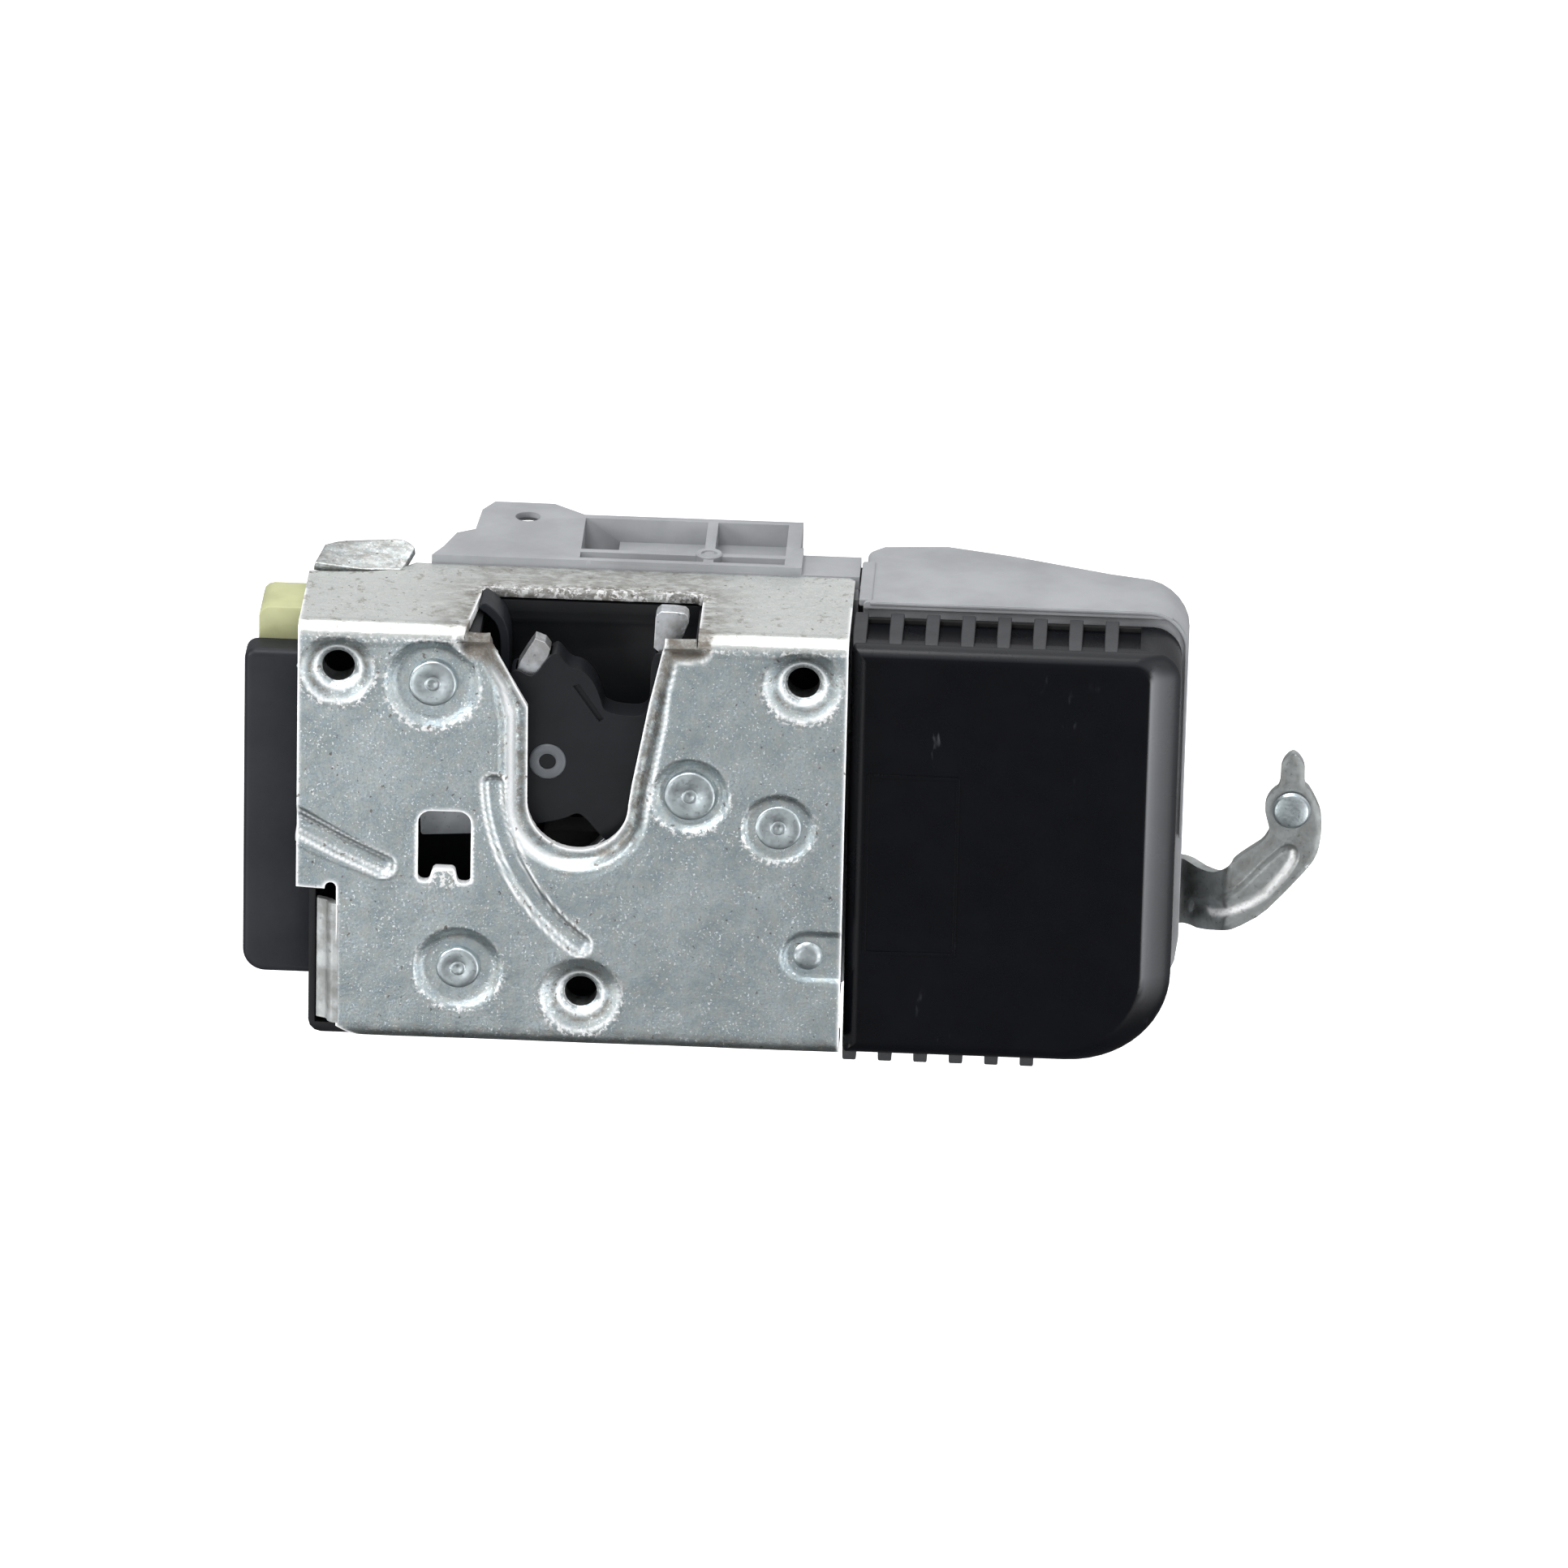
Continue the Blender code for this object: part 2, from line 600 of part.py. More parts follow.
def make_springs():
    """Torsion springs on the pins, between the moving pieces and the back wall."""
    keep("claw_spring", coil(CLAW_PIVOT, 5.6, 1.3, 12.3, 16.6, 3.1, 40, 8.0), "spring_steel")
    keep("pawl_spring", coil(PAWL_PIVOT, 5.2, 1.0, 12.0, 16.6, 3.25, -90, 7.0), "spring_steel")
    keep("release_spring", coil(RELEASE_PIVOT, 4.8, 0.8, 15.8, 17.2, 1.4, -40, 5.0), "spring_steel")


# Pawl


def pawl_outline():
    outline = [(-15, -4.9), (-18.7, -3.5)] + arc(PAWL_PIVOT, 6.0, 100, 235, 8)
    outline += [(-10, -13.6), (2, -12.6), (12, -15.8), (20, -14.5), (22.6, -9.0), (21.5, -1.6)]
    return outline + [(16.4, -2.7), (15.6, -8.5), (13, -10.3), (6, -7.2), (-4, -5.2)]


def make_pawl(body):
    lever = prism([pawl_outline(), circle(PAWL_PIVOT, 4.3)], *PAWL)
    keep("pawl_lever", lever, "bare_steel", body)
    buffer = rounded([(-14.5, -16.6, 1), (-7.5, -16.4, 1), (-7.0, -13.8, 0), (-15.0, -14.4, 0)], 2)
    keep("pawl_buffer", prism([buffer], PAWL[0], PAWL[1] - 0.2), "rubber", body)


# Release lever


def release_lever_outline():
    """From its foot behind the window, up round the pivot, and out to the left."""
    foot = rounded([(-25.7, 7.3, 0.5), (-16.4, 7.9, 1.5), (-18.0, 35.0, 0)])
    hub = arc(RELEASE_PIVOT, 5.1, -10, 85, 6)
    arm = [(-44.0, 42.8), (-49.2, 43.4), (-49.2, 39.4), (-44.0, 38.9), (-29.0, 35.6), (-26.6, 30.0)]
    return foot + hub + arm


def make_release_lever(body):
    lever = prism([release_lever_outline(), circle(RELEASE_PIVOT, 4.3)], *RELEASE_LEVER)
    keep("release_lever", lever, "lever_steel", body)
    outline = rounded([(-50.7, 38.0, 0.8), (-43.2, 38.0, 0.8), (-43.2, 45.0, 0.8), (-50.7, 45.0, 1.6)])
    block = prism([outline], 11.5, 22.0)
    room = box(-49.6, -40, RELEASE_LEVER[0] - GAP, RELEASE_LEVER[1] + GAP, 38.5, 44.4)
    keep("release_end", cut(block, room), "natural_nylon", body)


# Main housing and what it holds


def main_housing_from_above():
    """The main housing's plan: a square front part, and a lug and ribbed pockets at the back."""
    right = [(-26.4, 23.0), (41.0, 23.0), (41.0, 36.0), (31.5, 36.0), (31.5, 46.9), (-2.6, 46.9)]
    lug = [(-7.6, 51.1), (-16.9, 51.2), (-18.7, 47.5), (-19.2, 39.2)]
    return right + lug + [(-22.0, 37.3), (-23.6, 31.6), (-26.4, 24.8)]


def make_main_housing():
    left, right, low = -26.4, 41.0, -19.5
    front, back = MAIN_HOUSING
    outline = rounded([(left, low, 2), (right, low, 2), (right, HOUSING_TOP, 0), (left, HOUSING_TOP, 0)])
    plan = prism([main_housing_from_above()], -40, 70, "Z")
    housing = combine(prism([outline], 10, 60), [plan], "INTERSECT")
    below_pockets = box(-60, 60, back, 70, -40, 35.8)
    over_flange = box(-60, 60, 10, TOP_FLANGE_DEPTH + 0.4, PLATE_TOP - PLATE_THICKNESS - 0.4, 60)
    shelf = box(32.0, 50, 20, 40, 47.0, 60)
    cavity = prism([rectangle(-24.4, right - WALL, low + WALL, 34.0, 1)], front + WALL, back + 4)
    pockets = [
        box(x0, x1, y0, y1, floor, 60)
        for x0, x1, deep in ((-2.4, 16.7, 38.0), (18.3, 29.3, 44.5))
        for y0, y1, floor in ((28.7, 31.1, 38.0), (32.4, 45.5, deep))
    ]
    under_lug = box(-60, -4.2, back + 0.1, 60, -40, HOUSING_TOP - LUG_THICKNESS)
    housing = cut(housing, below_pockets, over_flange, shelf, cavity, under_lug, *pockets)
    block = box(3.0, 17.2, 35.0, 46.0, 37.0, 44.4)
    boss = drum((17.5, 31.8), 2.1, 37.5, HOUSING_TOP - 0.1, "Z")
    gusset = box(-10.4, -8.8, back - 1, 42.0, 40.0, HOUSING_TOP - 1)
    posts = [drum(place, 3.2, front + 1, back - 0.1) for place in REAR_SCREWS]
    feet = [drum(place, 2.5, REAR_PLATE[1] + GAP, front + 1) for place in HOUSING_FEET]
    housing = joined(housing, block, boss, gusset, *posts, *feet)
    holes = [drum(place, SCREW_HOLE_RADIUS, front + 3, back + 4) for place in REAR_SCREWS]
    countersink = drum(LUG_HOLE, 4.6, 44.0, HOUSING_TOP - 0.9, "Z")
    housing = cut(housing, countersink, drum(LUG_HOLE, 2.0, 40.0, 60, "Z"), *holes)
    keep("main_housing", housing, "grey_plastic")


def make_rear_cover():
    outline = rectangle(-25.6, 40.6, -19.1, 35.4, 2.5)
    socket = rectangle(8.7, 35.3, -17.3, 2.3, 1.2)
    cover = prism([outline, socket] + [circle(place, 1.8, 16) for place in REAR_SCREWS], *REAR_COVER)
    ribs = [box(x, x + 1.6, 37.5, 39.6, 5.0, 27.0) for x in (-13.0, -3.0, 7.0, 17.0)]
    keep("rear_cover", joined(cover, *ribs), "black_plastic")


def make_connector():
    outer = rectangle(9.1, 34.9, -16.9, 1.9, 1.5)
    inner = rectangle(10.9, 33.1, -15.1, 0.1, 0.8)
    shell = cut(prism([outer], 31.0, 48.0), prism([inner], 36.0, 50.0))
    latch = box(19.0, 25.0, 40.0, 46.5, 1.0, 3.4)
    keep("connector_shell", joined(shell, latch), "black_plastic")
    carrier = box(11.3, 32.7, 36.0 + GAP, 38.0, -14.7, -0.3)
    columns, rows = (13.0, 17.0, 21.3, 25.6, 29.6), (-11.6, -4.2)
    blades = [box(x, x + 1.4, 37.0, 44.5, z, z + 0.8) for x in columns for z in rows]
    keep("connector_pins", joined(carrier, *blades), "brass")


def make_microswitch():
    case = box(-19.0, -6.0, 25.2, 31.2, 3.0, 13.0)
    button = box(-12.0, -9.4, 27.0, 29.4, 12.0, 14.6)
    legs = [box(x, x + 0.8, 28.0, 28.6, -1.0, 4.0) for x in (-17.6, -12.9, -8.2)]
    keep("microswitch", joined(case, button, *legs), "case_plastic")


def make_screw(name, place, head_depth, length):
    """A pan-head screw that points forwards, with a cross recess in its head."""
    tip = head_depth - length
    profile = [
        (0, tip),
        (0.5, tip),
        (SCREW_RADIUS, tip + 1.2),
        (SCREW_RADIUS, head_depth),
        (SCREW_HEAD_RADIUS, head_depth),
        (SCREW_HEAD_RADIUS, head_depth + 1.0),
        (2.2, head_depth + 1.7),
        (0, head_depth + 1.8),
    ]
    screw = turned_pin(place, profile, 12)
    x, z = place
    top = head_depth + 0.9
    screw = cut(
        screw,
        box(x - 1.5, x + 1.5, top, top + 3, z - 0.3, z + 0.3),
        box(x - 0.3, x + 0.3, top, top + 3, z - 1.5, z + 1.5),
    )
    keep(name, screw, "bare_steel")


def make_screws():
    for number, place in enumerate(REAR_SCREWS, 1):
        make_screw(f"rear_screw_{number}", place, REAR_COVER[1] + GAP, 11.0)
    for number, place in enumerate(COVER_SCREWS, 1):
        make_screw(f"cover_screw_{number}", place, ACTUATOR_HOUSING[1] + GAP, 20.0)


# Actuator: cover, seal and housing


def cover_outline(inset=0.0):
    """The cover's edge, or a loop inside it whose corners are tighter by the inset."""
    left, right, low, high = 40.8 + inset, 91.2 - inset, -23.0 + inset, 45.2 - inset
    small = max(0.2, 0.8 - inset)
    bottom = [(left, low, small), (right, low, 15.0 - inset)]
    return rounded(bottom + [(right, high, 4.5 - inset), (left, high, small)], 6)


def make_actuator_cover():
    front, back = ACTUATOR_COVER
    steps = ((2.2, front), (1.1, front + 0.35), (0.35, front + 1.1), (0.0, front + 2.2), (0.0, back))
    cavity = ((3.0, front + WALL), (WALL, front + 3.0), (WALL, back + 2.0))
    cover = cut(
        loft([(cover_outline(inset), depth) for inset, depth in steps]),
        loft([(cover_outline(inset), depth) for inset, depth in cavity]),
    )
    ribs = []
    for number in range(TOP_RIBS):
        middle = FIRST_RIB + number * RIB_PITCH
        ribs.append(box(middle - RIB_WIDTH / 2, middle + RIB_WIDTH / 2, front + 1.6, back, 44.0, 46.1))
    for number in range(BOTTOM_RIBS):
        middle = FIRST_RIB + number * RIB_PITCH
        ribs.append(box(middle - RIB_WIDTH / 2, middle + RIB_WIDTH / 2, front + 1.6, back, -24.1, -22.0))
    posts = [drum(place, 2.8, front + 1, back - 0.2) for place in COVER_SCREWS]
    cover = joined(cover, *ribs, *posts)
    cover = cut(cover, *[drum(place, SCREW_HOLE_RADIUS, front + 3.2, back + 3) for place in COVER_SCREWS])
    keep("actuator_cover", cover, "black_plastic")


def make_cover_seal():
    keep("cover_seal", prism([cover_outline(0.4), cover_outline(1.7)], *COVER_SEAL), "rubber")


def housing_from_above():
    """The actuator housing's plan: a hood over the cover's top edge in front, and a bulge at the back."""
    front = [(42.0, 16.5), (91.4, 16.5), (92.2, 17.3), (92.2, 26.6)]
    return front + [(86.0, 30.0), (79.7, 31.8), (64.4, 37.8), (54.3, 40.8), (44.5, 39.8), (42.0, 37.0)]


def make_actuator_housing():
    front, back = ACTUATOR_HOUSING
    outline = rounded([(42.0, -22.4, 0.8), (92.2, -22.4, 15.4), (92.2, 47.4, 6.0), (42.0, 47.4, 0.8)], 6)
    plan = prism([housing_from_above()], -30, 60, "Z")
    housing = combine(prism([outline], 10, 50), [plan], "INTERSECT")
    under_hood = box(30, 100, 10, front, -40, 46.3)
    below_bulge = box(30, 100, back, 60, -40, 34.0)
    behind = [(43.8, back), (88.0, back), (79.0, 30.0), (63.8, 36.0), (54.0, 38.9), (45.2, 38.0)]
    bulge_room = prism([behind], 33.0, 45.5, "Z")
    room = rounded([(43.8, -20.6, 0.5), (90.4, -20.6, 13.6), (90.4, 44.4, 3.0), (43.8, 44.4, 0.5)], 6)
    housing = cut(housing, under_hood, below_bulge, bulge_room, prism([room], 14, back - WALL + 0.2))
    housing = joined(housing, drum(LOCK_PIVOT, 6.0, SECTOR_DEPTH[1] + 0.4, back - 0.5))
    housing = cut(housing, drum(LOCK_PIVOT, 3.2, 20, 32))
    for place in COVER_SCREWS:
        housing = joined(housing, drum(place, 2.8, front + 0.3, back - 0.5))
        housing = cut(housing, drum(place, SCREW_HOLE_RADIUS, 10, 45))
    keep("actuator_housing", housing, "grey_plastic")


# Motor and gears


def make_motor(body):
    """A can with two flats, its plastic end cap, and the shaft with the worm."""
    bottom, top = MOTOR_BOTTOM, MOTOR_TOP
    side = math.degrees(math.asin(MOTOR_HALF_WIDTH / MOTOR_RADIUS))
    outline = arc(MOTOR_AXIS, MOTOR_RADIUS, -side, side, 8)
    outline += arc(MOTOR_AXIS, MOTOR_RADIUS, 180 - side, 180 + side, 8)
    can = joined(prism([outline], bottom, top, "Z"), drum(MOTOR_AXIS, 3.2, bottom - 1.4, bottom + 1, "Z"))
    keep("motor_can", cut(can, drum(MOTOR_AXIS, 1.5, -2.0, top + 1, "Z")), "zinc_steel")
    cap = joined(drum(MOTOR_AXIS, 6.5, top + GAP, 6.6, "Z"), drum(MOTOR_AXIS, 3.4, 6.0, 8.4, "Z"))
    keep("motor_cap", cut(cap, drum(MOTOR_AXIS, 1.6, top - 1, 10, "Z")), "case_plastic")
    keep("motor_shaft", drum(MOTOR_AXIS, 1.15, -1.0, 25.4, "Z"), "bare_steel", body)
    worm = drum(MOTOR_AXIS, 2.95, 12.6, 24.4, "Z")
    for start in range(WORM_STARTS):
        worm = joined(worm, worm_thread(start * 360 / WORM_STARTS))
    keep("worm", cut(worm, drum(MOTOR_AXIS, 1.45, 10, 30, "Z")), "brass", body)


def worm_thread(phase):
    """One right-handed thread, whose turns cross the wheel's side at the wheel's height."""
    steps, turns = 22, 1.6
    curve = bpy.data.curves.new("thread", "CURVE")
    curve.dimensions = "3D"
    curve.bevel_depth = 0.5 * MM
    curve.bevel_resolution = 0
    curve.use_fill_caps = True
    spline = curve.splines.new("POLY")
    spline.points.add(steps)
    for step, point in enumerate(spline.points):
        turn = turns * (step / steps - 0.5)
        x, y = polar(MOTOR_AXIS, WORM_RADIUS - 0.15, 360 * turn + phase)
        point.co = (x * MM, y * MM, (WHEEL_CENTRE[1] + WORM_LEAD * turn) * MM, 1)
    return baked(new_object(curve))


def mesh_angle():
    """Where the pinion meets the sector, seen from the sector's centre."""
    return math.degrees(math.atan2(WHEEL_CENTRE[1] - LOCK_PIVOT[1], WHEEL_CENTRE[0] - LOCK_PIVOT[0]))


def make_worm_wheel(body):
    gap_at_worm = 180 + 180 / WHEEL_TEETH
    wheel = prism([gear_loop(WHEEL_CENTRE, WHEEL_TEETH, 12.8, 14.3, gap_at_worm)], *WHEEL_DEPTH)
    gap_at_sector = mesh_angle() + 180 + 180 / PINION_TEETH
    pinion_teeth = gear_loop(WHEEL_CENTRE, PINION_TEETH, 3.9, 5.8, gap_at_sector)
    pinion = prism([pinion_teeth], WHEEL_DEPTH[1] - 0.5, PINION_BACK)
    wheel = cut(joined(wheel, pinion), drum(WHEEL_CENTRE, 1.9, 0, 40, sides=20))
    keep("worm_wheel", wheel, "gear_plastic", body)
    keep("wheel_axle", drum(WHEEL_CENTRE, 1.5, 5.2, 26.2, sides=20), "bare_steel")


def make_output(body):
    angle = mesh_angle()
    sector = gear_loop(LOCK_PIVOT, SECTOR_TEETH, 16.8, 18.7, angle, angle - 16, angle + 34)
    sector += arc(LOCK_PIVOT, 6.5, angle + 60, angle + 300, 12)
    wheel = cut(prism([sector], *SECTOR_DEPTH), drum(LOCK_PIVOT, 3.3, 0, 40))
    keep("sector_gear", wheel, "gear_plastic", body)
    shaft = [(0, 17.2), (4.6, 17.2), (4.6, 19.3), (3.0, 19.3), (3.0, 32.2), (2.6, 32.6), (0, 32.6)]
    keep("output_shaft", turned_pin(LOCK_PIVOT, shaft), "bare_steel", body)
    clip = arc(LOCK_PIVOT, 5.2, -60, 240, 16) + arc(LOCK_PIVOT, 3.3, 240, -60, 16)
    keep("shaft_clip", prism([clip], 30.8, 31.6), "spring_steel", body)


# Lock lever


def lock_lever_side():
    """The lever's outline, seen from the front: hub, elbow, bulging outer edge, pointed nose and head."""
    lower = arc(LOCK_PIVOT, 7.5, 80, 300, 10)
    elbow = [(94.5, -9.4), (98.0, -7.9), (101.0, -6.5), (105.1, -3.8), (108.7, 0.3), (112.4, 4.9)]
    outer = [(113.4, 7.2), (113.8, 10.7), (113.5, 13.6), (112.5, 15.9), (110.9, 18.1)]
    nose = [(110.7, 21.0), (110.0, 22.4), (108.95, 23.3), (107.9, 22.4), (107.2, 21.0), (107.1, 18.0)]
    head = arc(ROD_PIN, 4.1, 130, 200, 4)
    inner = [(105.8, 10.2), (104.8, 8.4), (101.1, 6.0), (98.0, 3.4), (96.2, 1.9), (94.3, 1.2), (91.4, 1.9)]
    return lower + elbow + outer + nose + head + inner


def make_lock_lever(body):
    half = LOCK_LEVER_THICKNESS / 2
    spine = [(68.0, LOCK_LEVER_BACK), (94.0, LOCK_LEVER_BACK)]
    spine += [(101.0, LOCK_LEVER_FRONT), (118.0, LOCK_LEVER_FRONT)]
    near = moved_out(spine, half, closed=False)
    far = moved_out(spine, -half, closed=False)
    strip = prism([near + far[::-1]], -30, 40, "Z")
    lever = combine(prism([lock_lever_side()], 10, 40), [strip], "INTERSECT")
    lever = cut(lever, drum(LOCK_PIVOT, 3.3, 20, 40))
    keep("lock_lever", cut(lever, drum(ROD_PIN, 2.6, 10, 30)), "lever_steel", body)
    pin = [
        (0, 18.9),
        (2.6, 18.9),
        (3.1, 19.3),
        (3.1, 19.7),
        (2.2, 19.7),
        (2.2, 22.3),
        (3.1, 22.3),
        (3.1, 23.3),
        (2.3, 23.3),
        (2.3, 26.0),
        (1.8, 26.5),
        (0, 26.5),
    ]
    keep("rod_pin", turned_pin(ROD_PIN, pin), "bare_steel", body)


clear_scene()
PARTS = bpy.data.collections.new("side_door_latch")
bpy.context.scene.collection.children.link(PARTS)
MATERIALS = make_materials()

make_latch_plate()
make_pins()
make_latch_case()
make_side_cover()
make_rear_plate()
make_slot_bumper()
make_claw(make_body("claw", CLAW_PIVOT, CLAW_CORE[0]))
make_springs()
make_pawl(make_body("pawl", PAWL_PIVOT, PAWL[0]))
make_release_lever(make_body("release", RELEASE_PIVOT, RELEASE_LEVER[0]))
make_main_housing()
make_rear_cover()
make_connector()
make_microswitch()
make_actuator_cover()
make_cover_seal()
make_actuator_housing()
make_screws()
make_motor(make_body("rotor", (MOTOR_AXIS[0], WHEEL_CENTRE[1]), MOTOR_AXIS[1]))
make_worm_wheel(make_body("wheel", WHEEL_CENTRE, WHEEL_DEPTH[0]))
output = make_body("lock", LOCK_PIVOT, LOCK_LEVER_BACK)
make_output(output)
make_lock_lever(output)
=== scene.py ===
"""The looks of the side-door latch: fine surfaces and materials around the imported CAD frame.

Lengths are in millimetres unless a name says otherwise, and MM turns them into metres.
"""

import json
from math import ceil, cos, dist, pi, radians, sin, sqrt, tan

import bmesh
import bpy
import numpy as np
from mathutils import Matrix, Vector
from mathutils.geometry import delaunay_2d_cdt


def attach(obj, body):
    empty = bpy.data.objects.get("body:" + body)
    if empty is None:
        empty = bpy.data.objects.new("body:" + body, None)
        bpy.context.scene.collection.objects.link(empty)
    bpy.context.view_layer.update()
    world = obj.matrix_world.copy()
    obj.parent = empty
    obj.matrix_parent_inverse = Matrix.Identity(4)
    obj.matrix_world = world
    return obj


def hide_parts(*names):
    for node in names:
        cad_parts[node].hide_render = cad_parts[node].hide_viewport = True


MM = 0.001
WELD = 0.002
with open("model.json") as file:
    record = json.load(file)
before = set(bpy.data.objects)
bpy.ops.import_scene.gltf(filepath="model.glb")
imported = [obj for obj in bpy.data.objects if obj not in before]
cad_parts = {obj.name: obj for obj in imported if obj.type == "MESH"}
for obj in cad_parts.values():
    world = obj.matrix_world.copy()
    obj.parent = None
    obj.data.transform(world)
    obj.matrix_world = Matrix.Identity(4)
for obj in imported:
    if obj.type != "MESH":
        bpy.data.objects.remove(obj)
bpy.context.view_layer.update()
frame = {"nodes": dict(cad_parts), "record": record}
NODES = frame["nodes"]

PLATE_TOP, PLATE_BOTTOM, SHEET_THICKNESS, BEND_RADIUS = 47, -21.8, 1.5, 2
FLANGE_BACK, NOTCH_LEFT, NOTCH_RIGHT, NOTCH_BACK = 27.2, -16.7, 17.4, 18
RELEASE_PIVOT, PAWL_PIVOT, CLAW_PIVOT = (-23.1, 37.7), (-18.7, -9.5), (16.6, 20.6)
STUD_PLACE, RIVET_PLACE, LOCK_PIVOT = (30.3, 15.8), (35.3, -5.4), (79.95, -3.85)
ROD_PIN = (109, 14)
CLAW_BOSS = (-5.65, 23.3)
POCKET_BOSS = (17.5, 31.8)
# x, z and the recess's radius of each fixing thread
THREADS = ((-37.7, 39.5, 5.9), (33.6, 39.4, 6.2), (0.3, -13.3, 6.4))
THREAD_RADIUS = 2.5
SLOT_CENTRE, SLOT_RADIUS = (-0.7, 18), 7.8
RIB_WIDTH, RIB_PITCH, FIRST_RIB = 2.1, 5.5, 41.9
KEPT_FACES = ("main_housing", "actuator_housing", "latch_case", "rear_cover")


# Outlines, in millimetres


def arc(centre, radius, first, last, steps):
    angles = [radians(first + (last - first) * step / steps) for step in range(steps + 1)]
    return [(centre[0] + radius * cos(a), centre[1] + radius * sin(a)) for a in angles]


def polar(centre, radius, angle):
    return arc(centre, radius, angle, angle, 1)[0]


def circle(centre, radius, steps=48):
    return arc(centre, radius, 0, 360, steps)[:-1]


def rounded(corners, steps=6):
    """A loop through corners given as (x, z, radius), each with that round."""
    loop = []
    for index, (x, z, radius) in enumerate(corners):
        corner = Vector((x, z))
        to_before = (Vector(corners[index - 1][:2]) - corner).normalized()
        to_after = (Vector(corners[(index + 1) % len(corners)][:2]) - corner).normalized()
        if radius == 0:
            loop.append((x, z))
            continue
        half = to_before.angle(to_after) / 2
        centre = corner + (to_before + to_after).normalized() * (radius / sin(half))
        start = corner + to_before * (radius / tan(half)) - centre
        turn = start.angle_signed(corner + to_after * (radius / tan(half)) - centre)
        for step in range(steps + 1):
            spoke = start.copy()
            spoke.rotate(Matrix.Rotation(-turn * step / steps, 2))
            loop.append(tuple(centre + spoke))
    return loop


def rectangle(left, right, low, high):
    corners = ((left, low), (right, low), (right, high), (left, high))
    return rounded([(*corner, 0.3) for corner in corners], 2)


def moved_out(loop, distance, closed=True):
    """The loop with every side moved out by the distance, or in where it is negative."""
    result = []
    for index, point in enumerate(loop):
        here = Vector(point)
        before = Vector(loop[index - 1])
        after = Vector(loop[(index + 1) % len(loop)])
        if not closed and index == 0:
            before = here - (after - here)
        if not closed and index == len(loop) - 1:
            after = here + (here - before)
        side_in = (here - before).normalized()
        side_out = (after - here).normalized()
        normal = (Vector((side_in.y, -side_in.x)) + Vector((side_out.y, -side_out.x))).normalized()
        stretch = max(0.5, normal.dot(Vector((side_in.y, -side_in.x))))
        result.append(tuple(here + normal * (distance / stretch)))
    return result


def ribbon(path, half_width):
    """The closed loop that runs round an open path at that distance."""
    return moved_out(path, half_width, closed=False) + moved_out(path, -half_width, closed=False)[::-1]


def resampled(loop, spacing):
    """The closed loop with points added, so that no side is longer than the spacing."""
    result = []
    for here, after in zip(loop, loop[1:] + loop[:1]):
        count = max(1, ceil(dist(here, after) / spacing))
        for step in range(count):
            share = step / count
            result.append(tuple(a + (b - a) * share for a, b in zip(here, after)))
    return result


# Solids


def new_object(name, data):
    made = bpy.data.objects.new(name, data)
    bpy.context.scene.collection.objects.link(made)
    return made


def turned_out(mesh, weld=0, forward=False):
    """Turns a mesh's faces outward or, on an open sheet, out of the mounting face."""
    work = bmesh.new()
    work.from_mesh(mesh)
    if weld:
        bmesh.ops.remove_doubles(work, verts=work.verts, dist=weld * MM)
    bmesh.ops.recalc_face_normals(work, faces=work.faces)
    if forward and sum(face.normal.y for face in work.faces) > 0:
        bmesh.ops.reverse_faces(work, faces=work.faces)
    work.to_mesh(mesh)
    work.free()
    return mesh


def plain_mesh(points, faces):
    mesh = bpy.data.meshes.new("plain")
    mesh.from_pydata(points, [], faces)
    return mesh


def solid(points, faces):
    return new_object("solid", turned_out(plain_mesh([Vector(point) * MM for point in points], faces)))


def baked(source):
    """A mesh object with the evaluated shape of a curve, or of an object with modifiers."""
    bpy.context.view_layer.update()
    graph = bpy.context.evaluated_depsgraph_get()
    mesh = bpy.data.meshes.new_from_object(source.evaluated_get(graph))
    mesh.transform(source.matrix_world)
    bpy.data.objects.remove(source, do_unlink=True)
    return new_object("baked", turned_out(mesh, weld=WELD))


FACING = {
    "X": Matrix(((0, 0, 1, 0), (1, 0, 0, 0), (0, 1, 0, 0), (0, 0, 0, 1))),
    "Y": Matrix(((1, 0, 0, 0), (0, 0, -1, 0), (0, 1, 0, 0), (0, 0, 0, 1))),
    "Z": Matrix.Identity(4),
}


def prism(loops, low, high, axis="Y"):
    """A flat outline, with any holes as further loops, from low to high along an axis."""
    curve = bpy.data.curves.new("outline", "CURVE")
    curve.dimensions = "2D"
    curve.fill_mode = "BOTH"
    curve.extrude = (high - low) / 2 * MM
    for loop in loops:
        spline = curve.splines.new("POLY")
        spline.points.add(len(loop) - 1)
        spline.use_cyclic_u = True
        for point, (across, up) in zip(spline.points, loop):
            point.co = (across * MM, up * MM, 0, 1)
    outline = new_object("prism", curve)
    middle = Vector([(low + high) / 2 * MM if letter == axis else 0 for letter in "XYZ"])
    outline.matrix_world = Matrix.Translation(middle) @ FACING[axis]
    return baked(outline)


def box(left, right, front, back, low, high):
    middle = Vector((left + right, front + back, low + high)) * (MM / 2)
    sides = Vector((right - left, back - front, high - low)) * MM
    place = Matrix.Translation(middle) @ Matrix.Diagonal((*sides, 1))
    mesh = bpy.data.meshes.new("box")
    work = bmesh.new()
    bmesh.ops.create_cube(work, size=1, matrix=place)
    work.to_mesh(mesh)
    work.free()
    return new_object("box", turned_out(mesh))


